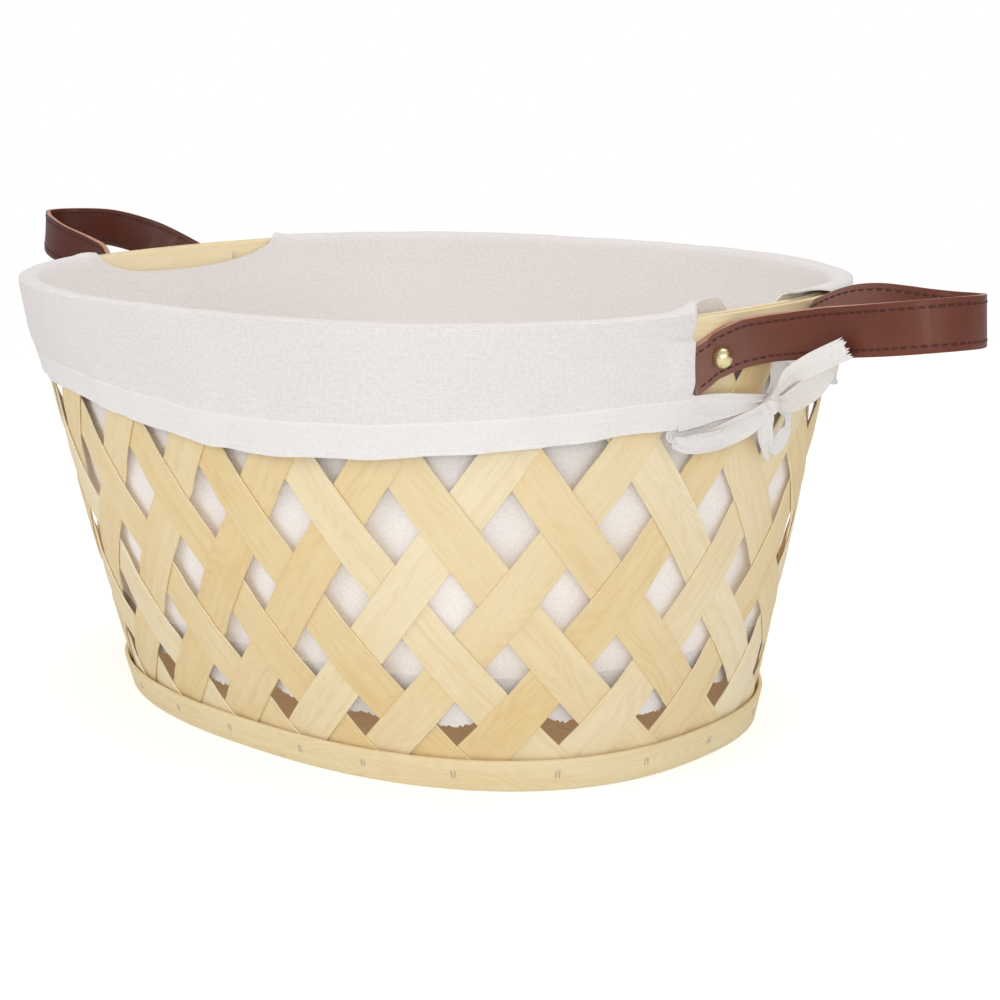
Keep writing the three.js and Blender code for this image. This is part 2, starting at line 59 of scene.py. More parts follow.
# %% Sizes of the real basket
MM = 0.001
HEIGHT = 255 * MM
RIM_HALF = (250 * MM, 200 * MM)
BASE_HALF = (203.5 * MM, 146.5 * MM)
SIDE_BULGE = 4.8 * MM
OVAL_POWER = 2.37

SPLINTS_EACH_WAY = 22
SPLINT_WIDTH = 25 * MM
SPLINT_THICKNESS = 1 * MM
SPLINT_RISE_AT_BASE = math.radians(47.8)
RIM_CROSSING_HEIGHT = 194 * MM
WEAVE_PHASE = -0.27
SPLINT_END_INSET = 1 * MM

HOOP_INNER = 2.2 * MM
HOOP_OUTER = 4.5 * MM
BASE_HOOP_HEIGHT = 18 * MM
RIM_HOOP_HEIGHT = 26 * MM
BOARD_THICKNESS = 9 * MM
RIM_HOOP_BOTTOM = HEIGHT - RIM_HOOP_HEIGHT

# %% [markdown]
# ## The wall
# Everything on the basket follows one oval wall that flares upwards. A place on it is a share
# of the way round, counted from the right-hand end, a height, and an offset outwards. The
# oval has no plain formula for its arc length, so tables are made once and read afterwards.

# %% An oval at one height
ANGLE_STEPS = 360
SHARE_STEPS = 2880
LEVEL_STEP = 1 * MM
TABLE_TOP = 262 * MM


def oval_point(angle, height, out):
    part = height / HEIGHT
    bulge = 4 * SIDE_BULGE * part * (1 - part)
    long = BASE_HALF[0] + (RIM_HALF[0] - BASE_HALF[0]) * part + out
    wide = BASE_HALF[1] + (RIM_HALF[1] - BASE_HALF[1]) * part + bulge + out
    c, s = np.cos(angle), np.sin(angle)
    x = long * np.sign(c) * np.abs(c) ** (2 / OVAL_POWER)
    y = wide * np.sign(s) * np.abs(s) ** (2 / OVAL_POWER)
    return np.stack(np.broadcast_arrays(x, y, height), axis=-1)


def lengths_along(line):
    """The length so far at each point of a line."""
    return np.concatenate([[0], np.cumsum(np.linalg.norm(np.diff(line, axis=0), axis=1))])


# %% Tables of the oval wall
levels = np.arange(0, TABLE_TOP, LEVEL_STEP)
share_marks = np.linspace(0, 1, SHARE_STEPS + 1)
angle_marks = np.linspace(0, 2 * math.pi, ANGLE_STEPS + 1)
perimeters = []
angle_rows = []
for level in levels:
    lengths = lengths_along(oval_point(angle_marks, level, 0))
    perimeters.append(lengths[-1])
    angle_rows.append(np.interp(share_marks, lengths / lengths[-1], angle_marks))
angle_table = np.array(angle_rows)
print("table of the wall", angle_table.shape)


# %% Places on the wall
def perimeter(height):
    return np.interp(height, levels, perimeters)


def wall_point(share, height, out):
    """Places on the wall, for numbers or arrays of them."""
    share, height, out = np.broadcast_arrays(share, height, out)
    level = np.clip(height / LEVEL_STEP, 0, len(levels) - 1.001)
    mark = (share - np.floor(share)) * SHARE_STEPS
    low, left = level.astype(int), np.minimum(mark.astype(int), SHARE_STEPS - 1)
    up, along = level - low, mark - left
    angle = (
        angle_table[low, left] * (1 - up) * (1 - along)
        + angle_table[low, left + 1] * (1 - up) * along
        + angle_table[low + 1, left] * up * (1 - along)
        + angle_table[low + 1, left + 1] * up * along
    )
    return oval_point(angle, height, out)


def wall_normal(share, height):
    step = 1 * MM
    turn = step / perimeter(height)
    along = wall_point(share + turn, height, 0) - wall_point(share - turn, height, 0)
    rise = wall_point(share, height + step, 0) - wall_point(share, height - step, 0)
    normal = np.cross(along, rise)
    return normal / np.linalg.norm(normal, axis=-1, keepdims=True)


RIM_ROUND = float(perimeter(HEIGHT))
print("rim is", round(RIM_ROUND, 4), "m round, base", round(float(perimeter(0)), 4), "m")

# %% [markdown]
# ## Working on one piece
# An operator acts on all that is selected. So each helper first selects its own piece alone,
# and a new primitive is added with nothing else selected.


# %% Helpers for one piece
def primitive(add, **settings):
    bpy.ops.object.select_all(action="DESELECT")
    add(**settings)
    return bpy.context.active_object


def only(piece):
    bpy.ops.object.select_all(action="DESELECT")
    piece.select_set(True)
    bpy.context.view_layer.objects.active = piece


def apply_modifier(piece, kind, **settings):
    only(piece)
    modifier = piece.modifiers.new(kind.title(), kind)
    for name, value in settings.items():
        setattr(modifier, name, value)
    bpy.ops.object.modifier_apply(modifier=modifier.name)


def rounded(piece, width, segments=2, angle=35):
    apply_modifier(
        piece,
        "BEVEL",
        width=width,
        segments=segments,
        limit_method="ANGLE",
        angle_limit=math.radians(angle),
    )


def smooth(piece, angle=40):
    only(piece)
    bpy.ops.object.shade_smooth_by_angle(angle=math.radians(angle))


def mark_tone(piece, value):
    """The piece's own tone, read by its finish."""
    tone = piece.data.attributes.new("tone", "FLOAT", "POINT")
    tone.data.foreach_set("value", np.full(len(piece.data.vertices), value, np.float32))


def join(pieces, name):
    bpy.ops.object.select_all(action="DESELECT")
    for piece in pieces:
        piece.select_set(True)
    bpy.context.view_layer.objects.active = pieces[0]
    if len(pieces) > 1:
        bpy.ops.object.join()
    pieces[0].name = pieces[0].data.name = name
    return pieces[0]


def settle(piece):
    """Puts a piece's place, turn and size into its mesh."""
    only(piece)
    bpy.ops.object.transform_apply(location=True, rotation=True, scale=True)


# %% [markdown]
# ## Making a strip
# Most pieces here are strips: splints, hoops, straps, ribbons and the liner. A curve with a
# profile would twist and bunch up where the wall flares. So each starts as a flat grid, whose
# points are then laid on their surface. The pattern coordinates are kept in metres along and
# across the strip, so grain and weave follow it round every bend.


# %% Strips
def delete_faces(piece, chosen):
    """chosen has one True or False for each face."""
    only(piece)
    bpy.ops.object.mode_set(mode="EDIT")
    bpy.ops.mesh.select_mode(type="FACE")
    bpy.ops.mesh.select_all(action="DESELECT")
    bpy.ops.object.mode_set(mode="OBJECT")
    piece.data.polygons.foreach_set("select", chosen)
    bpy.ops.object.mode_set(mode="EDIT")
    bpy.ops.mesh.delete(type="FACE")
    bpy.ops.object.mode_set(mode="OBJECT")


def strip(name, long_steps, wide_steps, place, pattern, closed=False, keep=None):
    """A grid laid on a surface. place, pattern and keep take arrays u and v from 0 to 1."""
    piece = primitive(
        bpy.ops.mesh.primitive_grid_add,
        x_subdivisions=long_steps,
        y_subdivisions=wide_steps,
        size=1,
    )
    piece.name = piece.data.name = name
    mesh = piece.data
    if keep:
        middles = np.array([polygon.center for polygon in mesh.polygons]) + 0.5
        delete_faces(piece, ~keep(middles[:, 0], middles[:, 1]))
    flat = np.zeros(len(mesh.vertices) * 3)
    mesh.vertices.foreach_get("co", flat)
    u, v = flat.reshape(-1, 3)[:, 0] + 0.5, flat.reshape(-1, 3)[:, 1] + 0.5
    mesh.vertices.foreach_set("co", place(u, v).ravel())
    corner = np.zeros(len(mesh.loops), dtype=int)
    mesh.loops.foreach_get("vertex_index", corner)
    for layer in list(mesh.uv_layers):
        mesh.uv_layers.remove(layer)
    laid = mesh.uv_layers.new(name="laid")
    laid.data.foreach_set("uv", pattern(u, v)[corner].ravel())
    if closed:
        only(piece)
        bpy.ops.object.mode_set(mode="EDIT")
        bpy.ops.mesh.select_all(action="SELECT")
        bpy.ops.mesh.remove_doubles(threshold=1e-6)
        bpy.ops.object.mode_set(mode="OBJECT")
    mesh.update()
    return piece


def thicken(piece, thickness, rim_material=0):
    """Gives a strip its thickness, and its cut edges a finish of their own."""
    apply_modifier(
        piece,
        "SOLIDIFY",
        thickness=thickness,
        offset=0,
        use_even_offset=True,
        material_offset_rim=rim_material,
    )


# %% [markdown]
# ## Writing finishes as sums
# A wire is one output of a shader node. Adding, subtracting or multiplying wires adds the
# Math nodes, so a finish reads like the arithmetic that it is. A finish adds all other nodes
# through one method, and its constants go straight on the surface's own sockets.


# %% A wire and its arithmetic
class Wire:
    """One output socket in a finish. Python arithmetic on it adds Math nodes."""

    def __init__(self, finish, socket):
        self.finish = finish
        self.socket = socket

    def math(self, operation, *values):
        inputs = dict(enumerate((self, *values)))
        return self.finish.node("ShaderNodeMath", {"operation": operation}, inputs)

    def __add__(self, other):
        return self.math("ADD", other)

    def __mul__(self, other):
        return self.math("MULTIPLY", other)

    def __sub__(self, other):
        return self.math("SUBTRACT", other)

    def __rsub__(self, other):
        return self.finish.node("ShaderNodeMath", {"operation": "SUBTRACT"}, {0: other, 1: self})

    __radd__ = __add__
    __rmul__ = __mul__

    def band(self, low, high):
        """0 below low, 1 above high and smooth between them."""
        settings = {"interpolation_type": "SMOOTHSTEP"}
        values = {"Value": self, "From Min": low, "From Max": high}
        return self.finish.node("ShaderNodeMapRange", settings, values)


# %% A finish and its nodes
class Finish:
    """A material whose nodes are added one by one."""

    def __init__(self, name, constants):
        self.material = bpy.data.materials.new(name)
        self.material.use_nodes = True
        self.tree = self.material.node_tree
        self.surface = self.tree.nodes["Principled BSDF"]
        for socket, value in constants.items():
            self.surface.inputs[socket].default_value = value

    def node(self, kind, settings=None, values=None, output=0):
        made = self.tree.nodes.new(kind)
        for name, value in (settings or {}).items():
            setattr(made, name, value)
        for key, value in (values or {}).items():
            socket = made.inputs[key]
            if isinstance(value, Wire):
                self.tree.links.new(value.socket, socket)
            else:
                socket.default_value = value
        return Wire(self, made.outputs[output])

    def laid(self):
        """Metres along and across the strip."""
        return self.node("ShaderNodeUVMap", {"uv_map": "laid"})

    def attribute(self, name):
        return self.node("ShaderNodeAttribute", {"attribute_name": name}, output="Fac")

    def stretched(self, vector, scale):
        return self.node("ShaderNodeMapping", values={"Vector": vector, "Scale": scale})

    def noise(self, vector, scale, detail=3, roughness=0.55):
        stretched = self.stretched(vector, scale)
        values = {"Vector": stretched, "Scale": 1, "Detail": detail, "Roughness": roughness}
        return self.node("ShaderNodeTexNoise", values=values)

    def waves(self, vector, scale):
        """Even waves along the vector's X after it is scaled, from 0 to 1."""
        settings = {"wave_type": "BANDS", "bands_direction": "X", "wave_profile": "SIN"}
        values = {"Vector": self.stretched(vector, scale), "Scale": 1}
        return self.node("ShaderNodeTexWave", settings, values)

    def mix(self, factor, first, second, blend="MIX"):
        settings = {"data_type": "RGBA", "blend_type": blend}
        values = {"Factor": factor, 6: first, 7: second}
        return self.node("ShaderNodeMix", settings, values, output=2)

    def split(self, vector):
        made = self.node("ShaderNodeSeparateXYZ", values={"Vector": vector})
        outputs = made.socket.node.outputs
        return Wire(self, outputs["X"]), Wire(self, outputs["Y"])

    def paint(self, socket, wire):
        self.tree.links.new(wire.socket, self.surface.inputs[socket])

    def bump(self, height, distance, strength=1.0):
        values = {"Height": height, "Distance": distance, "Strength": strength}
        self.paint("Normal", self.node("ShaderNodeBump", values=values))

    def put_on(self, *pieces):
        for piece in pieces:
            piece.data.materials.append(self.material)


# %% Colours
def colour(red, green, blue):
    """A colour given as it looks on screen, 0 to 255, in the linear values nodes take."""
    linear = [((c / 255 + 0.055) / 1.055) ** 2.4 for c in (red, green, blue)]
    return (*linear, 1)


# %% [markdown]
# ## Wood
# The splints are poplar veneer: pale, with long fine streaks, a few broad cathedral bands and
# small brown specks. Each strip was cut from another place, so each has its own tone, and
# its pattern starts somewhere else. The marks are noise, stretched far along the strip. Thin
# veneer lets some light through to the board under the bag, and the board's faint warm glow
# stands for that light. The cut edges get a paler wood, a painted highlight for the light
# that catches them.


# %% Wood finishes
def wood_finish(name, pale, warm, streak=0.5, speck=0.4):
    wood = Finish(name, {"Specular IOR Level": 0.35})
    laid = wood.laid()
    tone = wood.attribute("tone")
    fine = wood.noise(laid, (14, 1500, 1), detail=4)
    long = wood.noise(laid, (5, 190, 1), detail=5, roughness=0.6)
    broad = wood.noise(laid, (6, 30, 1), detail=2)
    rings = (broad * 22).math("FRACT")
    cathedral = rings.band(0.0, 0.45) * (1 - rings.band(0.6, 1.0)) * long.band(0.3, 0.6)
    clouds = wood.noise(laid, (9, 24, 1), detail=3)
    base = wood.mix(tone * 0.8 + clouds.band(0.35, 0.75) * 0.3, pale, warm)
    grain = (long.band(0.45, 0.8) * 0.4 + fine.band(0.4, 0.8) * 0.35) * streak
    deep = wood.mix(1.0, base, colour(226, 190, 138), "MULTIPLY")
    streaked = wood.mix(grain + cathedral * 0.4 * streak, base, deep)
    specks = wood.noise(laid, (130, 620, 1), detail=2).band(0.7, 0.76) * speck
    wood.paint("Base Color", wood.mix(specks, streaked, colour(170, 124, 78)))
    wood.paint("Roughness", 0.5 + fine * 0.14)
    wood.bump(fine * 0.5 + long * 0.5, 0.12 * MM, 0.6)
    return wood


BOARD_GLOW = 0.2
splint_wood = wood_finish("splint_wood", colour(247, 236, 205), colour(235, 209, 154), streak=0.32)
# The splints' cut edges get a paler wood: a painted highlight where light catches them.
splint_edge_painted_highlight = wood_finish("splint_edge_painted_highlight", colour(252, 242, 214), colour(246, 228, 184), streak=0.1)
hoop_wood = wood_finish("hoop_wood", colour(247, 234, 198), colour(240, 220, 172), streak=0.35)
board_wood = wood_finish("board_wood", colour(224, 204, 170), colour(206, 182, 144), streak=0.6)
board_wood.surface.inputs["Emission Color"].default_value = colour(172, 146, 118)
board_wood.surface.inputs["Emission Strength"].default_value = BOARD_GLOW
print("splint wood has", len(splint_wood.tree.nodes), "nodes")

# %% [markdown]
# ## The weave
# Twenty-two splints lean each way. A straight strip on a flaring wall climbs more steeply
# towards the rim, so the crossings are counted in rows that grow taller upwards. One table
# turns a height into a row and back.

# %% Rows of crossings
row_levels = np.arange(0, HEIGHT + LEVEL_STEP / 2, LEVEL_STEP)
straightness = perimeter(0) * math.cos(SPLINT_RISE_AT_BASE)
flare_run = (RIM_HALF[0] + RIM_HALF[1] - BASE_HALF[0] - BASE_HALF[1]) / 2
flare = math.hypot(HEIGHT, flare_run) / HEIGHT
middles = (row_levels[1:] + row_levels[:-1]) / 2
tangents = np.sqrt(perimeter(middles) ** 2 - straightness**2) / straightness
row_steps = 2 * SPLINTS_EACH_WAY * flare / (perimeter(middles) * tangents) * LEVEL_STEP
rows_from_floor = np.concatenate([[0], np.cumsum(row_steps)])
rim_row = np.interp(RIM_CROSSING_HEIGHT, row_levels, rows_from_floor)


def row_at(height):
    return np.interp(height, row_levels, rows_from_floor) - rim_row


def height_of_row(row):
    return np.interp(row + rim_row, rows_from_floor, row_levels)


def splint_share(height):
    """Width of a splint in rows of the weave."""
    sine = np.sqrt(1 - (straightness / perimeter(height)) ** 2)
    return SPLINT_WIDTH * SPLINTS_EACH_WAY / (perimeter(height) * sine)


print("rows of crossings", round(float(row_at(0)), 2), "to", round(float(row_at(HEIGHT)), 2))

# %% [markdown]
# ## Splints
# Each strip passes over one neighbour and under the next. Copies of one strip would show, and
# an oval wall has no two places alike, so every strip is laid by itself. Its offset from the
# wall goes in and out with the rows, and small seeded changes of width, place and tone keep
# the weave from looking printed.

# %% Woven splints
SPLINT_STEPS = 110
SPLINT_WIDE_STEPS = 4
SPLINT_LENGTH = 310 * MM
SPLINT_BEVEL = 0.18 * MM
WEAVE_SHIFT = 0.66 * MM
WEAVE_SHARPNESS = 2.2
WIDTH_CHANGE = (-0.035, 0.02)
DRIFT = 0.03
WIDTH_ROUNDS = 5
PATTERN_SPREAD = 40

random = np.random.default_rng(7)


def woven_splint(name, number, lean):
    low, high = row_at(SPLINT_END_INSET), row_at(HEIGHT - SPLINT_END_INSET)
    low_share = splint_share(height_of_row(low))
    high_share = splint_share(height_of_row(high))
    start = random.uniform(0, PATTERN_SPREAD, 2)
    width = 1 + random.uniform(*WIDTH_CHANGE)
    drift = random.uniform(-DRIFT, DRIFT, 2)

    def place(u, v):
        across = (v * 2 - 1) * width
        other = (low + across * low_share / 2) * (1 - u) + (high + across * high_share / 2) * u
        own = np.zeros_like(u)
        for _ in range(WIDTH_ROUNDS):
            own = across * splint_share(height_of_row(other - own)) / 2
        row = other - own
        wander = drift[0] * np.sin(math.pi * u) + drift[1] * (u - 0.5)
        share = (number + WEAVE_PHASE + wander + lean * (own + row / 2)) / SPLINTS_EACH_WAY
        turn = np.tanh(WEAVE_SHARPNESS * np.cos(math.pi * other)) / math.tanh(WEAVE_SHARPNESS)
        return wall_point(share, height_of_row(row), lean * WEAVE_SHIFT * turn)

    def pattern(u, v):
        return np.stack([u * SPLINT_LENGTH + start[0], v * SPLINT_WIDTH + start[1]], axis=-1)

    piece = strip(name, SPLINT_STEPS, SPLINT_WIDE_STEPS, place, pattern)
    splint_wood.put_on(piece)
    splint_edge_painted_highlight.put_on(piece)
    thicken(piece, SPLINT_THICKNESS, rim_material=1)
    rounded(piece, SPLINT_BEVEL, segments=1)
    smooth(piece)
    mark_tone(piece, random.uniform(0, 1))
    return piece


for family, lean in (("right", 1), ("left", -1)):
    for number in range(SPLINTS_EACH_WAY):
        node = f"splint_{family}_leaning_{number + 1:02d}"
        piece = woven_splint(f"veneer_{family}_{number + 1:02d}", number, lean)
        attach(piece, "basket")
        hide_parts(node)
print("woven splints", 2 * SPLINTS_EACH_WAY, "with", len(piece.data.polygons), "faces each")

# %% [markdown]
# ## Hoops
# Three thin bands clamp the splint ends: one round the foot and two at the rim. A real hoop is
# a straight slat bent round the oval. So each is a strip too, closed on itself, with its grain
# along it and its long edges eased.

# %% Bent hoops
HOOP_STEPS = 360
HOOP_WIDE_STEPS = 4
HOOP_BEVEL = 0.6 * MM


def bent_hoop(name, inner, outer, bottom, top, tone):
    start = random.uniform(0, PATTERN_SPREAD, 2)
    middle = (inner + outer) / 2

    def place(u, v):
        return wall_point(u, bottom + v * (top - bottom), middle)

    def pattern(u, v):
        return np.stack([u * RIM_ROUND + start[0], v * (top - bottom) + start[1]], axis=-1)

    piece = strip(name, HOOP_STEPS, HOOP_WIDE_STEPS, place, pattern, closed=True)
    thicken(piece, outer - inner)
    rounded(piece, HOOP_BEVEL)
    smooth(piece)
    mark_tone(piece, tone)
    hoop_wood.put_on(piece)
    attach(piece, "basket")
    return piece


foot_band = bent_hoop("foot_band", HOOP_INNER, HOOP_OUTER, 0, BASE_HOOP_HEIGHT, 0.5)
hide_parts("base_hoop")
rim_band = bent_hoop("rim_band_outside", HOOP_INNER, HOOP_OUTER, RIM_HOOP_BOTTOM, HEIGHT, 0.4)
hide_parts("rim_hoop_outer")
lining_band = bent_hoop("rim_band_inside", -HOOP_OUTER, -HOOP_INNER, RIM_HOOP_BOTTOM, HEIGHT, 0.2)
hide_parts("rim_hoop_inner")
print("hoops", len(foot_band.data.polygons), "faces each")

# %% [markdown]
# ## Base board
# The board is let in between the splint feet. It starts as a flat cylinder, and each corner
# point moves out to the oval in its own direction.

# %% Base board
BOARD_STEPS = 180
BOARD_BEVEL = 0.8 * MM

board = primitive(
    bpy.ops.mesh.primitive_cylinder_add, vertices=BOARD_STEPS, radius=1, depth=BOARD_THICKNESS
)
board.name = board.data.name = "floor_board"
for vertex in board.data.vertices:
    share = math.atan2(vertex.co.y, vertex.co.x) / (2 * math.pi)
    x, y, _ = wall_point(share, 0.0, -HOOP_INNER)
    vertex.co = (x, y, vertex.co.z + BOARD_THICKNESS / 2)
rounded(board, BOARD_BEVEL)
smooth(board)
laid = board.data.uv_layers.new(name="laid")
for loop in board.data.loops:
    laid.data[loop.index].uv = board.data.vertices[loop.vertex_index].co.xy
for layer in [x for x in board.data.uv_layers if x.name != "laid"]:
    board.data.uv_layers.remove(layer)
mark_tone(board, 0.5)
board_wood.put_on(board)
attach(board, "basket")
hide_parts("base_board")
print("board", len(board.data.polygons), "faces")

# %% [markdown]
# ## Staples
# Small steel staples hold the hoops to the splints, about one to each crossing. The two legs
# of each are pressed flat side by side, and stand a little proud of the wood. A leg is a small
# cylinder with round ends. Eight at the foot and one at the rim are where the photograph shows
# them, and the rest go on at about the same distance, as even as a hand sets them.

# %% Staple steel
staple_steel = Finish("staple_steel", {"Metallic": 1.0, "Roughness": 0.34})
staple_steel.paint(
    "Base Color",
    staple_steel.mix(
        staple_steel.noise(staple_steel.node("ShaderNodeTexCoord", output="Object"), (900,) * 3),
        colour(176, 172, 164),
        colour(232, 229, 222),
    ),
)
print("staple steel has", len(staple_steel.tree.nodes), "nodes")

# %% Steel staples
STAPLE_HEIGHT = 4.4 * MM
STAPLE_WIRE = 0.4 * MM
STAPLE_ROUNDING = STAPLE_WIRE * 0.6
STAPLE_LEGS = 0.9 * MM
STAPLE_TILT = 0.16
FOOT_STAPLES = 9.5 * MM
RIM_STAPLES = HEIGHT - 8.5 * MM
HAND_SLIP = 0.005


def staples(name, shares, height, out):
    made = []
    apart = STAPLE_LEGS / perimeter(height)
    for share in np.concatenate([shares - apart, shares + apart]):
        wire = primitive(
            bpy.ops.mesh.primitive_cylinder_add, vertices=8, radius=STAPLE_WIRE, depth=STAPLE_HEIGHT
        )
        rounded(wire, STAPLE_ROUNDING, segments=2)
        point = Vector(wall_point(share, height, out))
        rise = Vector(wall_point(share, height + MM, out)) - point
        turned = rise.to_track_quat("Z", "Y").to_matrix().to_4x4()
        tilt = random.uniform(-STAPLE_TILT, STAPLE_TILT)
        lean = Matrix.Rotation(tilt, 4, Vector(wall_normal(share, height)))
        wire.data.transform(Matrix.Translation(point) @ lean @ turned)
        made.append(wire)
    piece = join(made, name)
    smooth(piece)
    staple_steel.put_on(piece)
    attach(piece, "basket")
    return piece


def by_hand(first, last, count):
    return np.linspace(first, last, count) + random.uniform(-HAND_SLIP, HAND_SLIP, count)


seen = [0.0045, 0.6973, 0.7407, 0.7896, 0.8265, 0.8716, 0.919, 0.9628]
foot_shares = np.array([*seen, *by_hand(0.05, 0.652, 14)])
staples("foot_staples", foot_shares, FOOT_STAPLES, HOOP_OUTER)
rim_shares = np.array([0.4616, *by_hand(0.08, 0.42, 8), *by_hand(0.57, 0.95, 9)])
staples("rim_staples", rim_shares, RIM_STAPLES, -HOOP_OUTER)
print("staples", len(foot_shares), "at the foot,", len(rim_shares), "at the rim")

# %% [markdown]
# ## Leather
# The straps are smooth brown leather with fine pores, a groove pressed in along each line of
# stitches, and a paler cut edge. Near the rivets the leather is painted greyer and lighter, a
# painted sheen, and the left-hand strap is painted darker, as painted shade. The groove is a
# bump, because it is less than half a millimetre.

# %% Leather finishes
STRAP_WIDTH = 25.5 * MM
STRAP_THICKNESS = 3 * MM
LEAST_PAINTED_SHEEN = 151.5 * MM
PAINTED_SHEEN_FROM_THERE = (85 * MM, 150 * MM)
STITCH_INSET = 3.6 * MM
GROOVE_SIDE = (0.1 * MM, 0.9 * MM)

leather = Finish("strap_leather", {"Specular IOR Level": 0.3, "Coat Weight": 0.05})
laid = leather.laid()
tone = leather.attribute("tone")
along, across = leather.split(laid)
from_middle = across.math("ABSOLUTE")
mottle = leather.noise(laid, (26, 34, 1), detail=5)
grain = leather.noise(laid, (1300, 1300, 1), detail=2)
pores = leather.node(
    "ShaderNodeTexVoronoi", values={"Vector": leather.stretched(laid, (1100, 1100, 1)), "Scale": 1}
)
brown = leather.mix(mottle.band(0.3, 0.7), colour(103, 50, 36), colour(114, 60, 44))
# Painted sheen: the colour turns greyer and lighter towards the rivets at both ends.
painted_sheen_near_rivet = (along - LEAST_PAINTED_SHEEN).math("ABSOLUTE").band(*PAINTED_SHEEN_FROM_THERE)
brown = leather.mix(painted_sheen_near_rivet * 0.8, brown, colour(146, 106, 94))
# The strap's tone paints the left-hand strap darker: painted shade.
brown = leather.mix(tone, brown, colour(78, 33, 19))
leather.paint("Base Color", leather.mix(pores.band(0.0, 0.5) * 0.2, brown, colour(84, 38, 27)))
leather.paint("Roughness", 0.42 + mottle * 0.1 + grain * 0.06)
groove_middle = STRAP_WIDTH / 2 - STITCH_INSET
groove = 1 - (from_middle - groove_middle).math("ABSOLUTE").band(*GROOVE_SIDE)
leather.bump(pores * 0.12 + grain * 0.12 - groove, 0.35 * MM, 0.8)

cut_edge = Finish("strap_cut_edge", {"Roughness": 0.7})
fibres = cut_edge.noise(cut_edge.laid(), (260, 2400, 1), detail=3)
cut_edge.paint("Base Color", cut_edge.mix(fibres, colour(168, 112, 90), colour(206, 160, 138)))
cut_edge.bump(fibres, 0.2 * MM, 0.6)

thread = Finish("strap_thread", {"Roughness": 0.6})
twist = thread.noise(thread.node("ShaderNodeTexCoord", output="Object"), (1400,) * 3)
thread.paint("Base Color", thread.mix(twist, colour(54, 17, 12), colour(80, 32, 23)))
print("leather has", len(leather.tree.nodes), "nodes")

# %% [markdown]
# ## Line of a strap
# Each handle is one stitched strap on edge. Its ends lie flat on the rim under a rivet and
# climb at a slant. The strap leaves the rim in a wide bend, leans back while it turns, runs
# out, and rounds its tip. Thick leather keeps such a form by itself. The stops give the
# middle line in millimetres and the lean of the strap's width in degrees, and a smooth curve
# runs through them.

# %% Stops of the straps
RIVET_HEIGHT = RIM_HOOP_BOTTOM + 6 * MM
RIVET_DISTANCE = 41 * MM
RIVET_ROUND = float(perimeter(RIVET_HEIGHT))
TAB_END = 58 * MM
TAB_SLOPE = math.tan(math.radians(27))
STRAP_SEAT = HOOP_OUTER + 0.3 * MM
STRAP_OUT = STRAP_SEAT + STRAP_THICKNESS / 2
WALL_LEAN = 10.5

STRAP_STOPS = {
    "right": [
        (257.3, -31.7, 239.5, 13.8), (268.8, -27.5, 242.7, 19.4), (281.2, -26.3, 244.9, 17.7),
        (293.7, -26.1, 246.9, 13.2), (306.2, -26.8, 248.9, 9.4), (318.6, -28.8, 250.6, 7.0),
        (330.9, -31.3, 252.4, 3.9), (343.3, -32.6, 254.2, -0.9), (355.5, -29.9, 255.8, -6.4),
        (365.5, -22.3, 256.8, -9.7), (370.9, -11.0, 256.9, -6.8), (370.9, 1.6, 256.1, -2.3),
        (366.5, 13.4, 255.1, -2.4), (359.3, 23.7, 253.9, 1.0), (349.3, 31.3, 252.7, 7.8),
        (337.1, 34.3, 252.1, 13.4), (324.5, 32.8, 252.6, 17.8), (313.0, 27.9, 254.1, 21.9),
        (301.6, 22.6, 255.3, 25.7), (289.2, 20.3, 254.3, 28.3), (277.1, 21.4, 251.0, 26.6),
        (265.8, 24.8, 246.3, 20.4), (255.8, 30.4, 241.0, 11.7),
    ],
    "left": [
        (-257.7, -31.5, 240.0, 24.8), (-268.7, -26.6, 243.3, 20.0), (-280.7, -24.3, 246.3, 12.0),
        (-293.0, -24.4, 249.1, 9.4), (-305.0, -26.4, 252.1, 3.9), (-317.1, -28.3, 255.0, -4.4),
        (-329.3, -27.4, 257.7, -10.0), (-341.2, -23.6, 259.8, -10.5), (-352.3, -18.1, 261.1, -7.8),
        (-362.9, -11.2, 262.0, -7.2), (-372.4, -3.1, 262.4, -3.3), (-373.7, 9.0, 262.4, -0.2),
        (-367.4, 19.8, 262.2, -0.2), (-357.2, 27.0, 262.0, 1.4), (-345.0, 29.5, 261.6, 5.6),
        (-332.4, 29.2, 260.8, 10.7), (-319.9, 28.7, 259.6, 15.1), (-307.4, 27.9, 258.1, 19.0),
        (-295.2, 25.3, 257.0, 23.9), (-283.4, 21.0, 256.4, 29.0), (-271.2, 19.4, 254.2, 27.2),
        (-260.0, 22.5, 249.6, 17.7), (-253.2, 30.7, 243.1, 7.3),
    ],
}


# %% Smooth line through stops
STRAP_LINE_STEPS = 420


def curve_through(stops, steps):
    """Smooth values through the stops, in even steps, for rows of any width."""
    stops = np.array(stops, float)
    ends = np.array([2 * stops[0] - stops[1], *stops, 2 * stops[-1] - stops[-2]])
    places = np.linspace(0, len(stops) - 1, steps)
    low = np.minimum(places.astype(int), len(stops) - 2)
    t = (places - low)[:, None]
    before, here, there, after = (ends[low + k] for k in range(4))
    square = 2 * before - 5 * here + 4 * there - after
    cube = 3 * here - before - 3 * there + after
    return 0.5 * (2 * here + (there - before) * t + square * t**2 + cube * t**3)


def unit(rows):
    return rows / np.linalg.norm(rows, axis=-1, keepdims=True)


def flat_end(side, end):
    """Stops of the strap's flat end on the rim, from its cut edge to past the rivet."""
    sign = 1 if side == "right" else -1
    middle = 0 if side == "right" else 0.5
    rows = []
    for distance in np.linspace(TAB_END, RIVET_DISTANCE, 3):
        height = RIVET_HEIGHT - (distance - RIVET_DISTANCE) * TAB_SLOPE
        share = middle + sign * end * distance / RIVET_ROUND
        rows.append((*wall_point(share, height, STRAP_OUT) / MM, WALL_LEAN))
    return rows if end < 0 else rows[::-1]


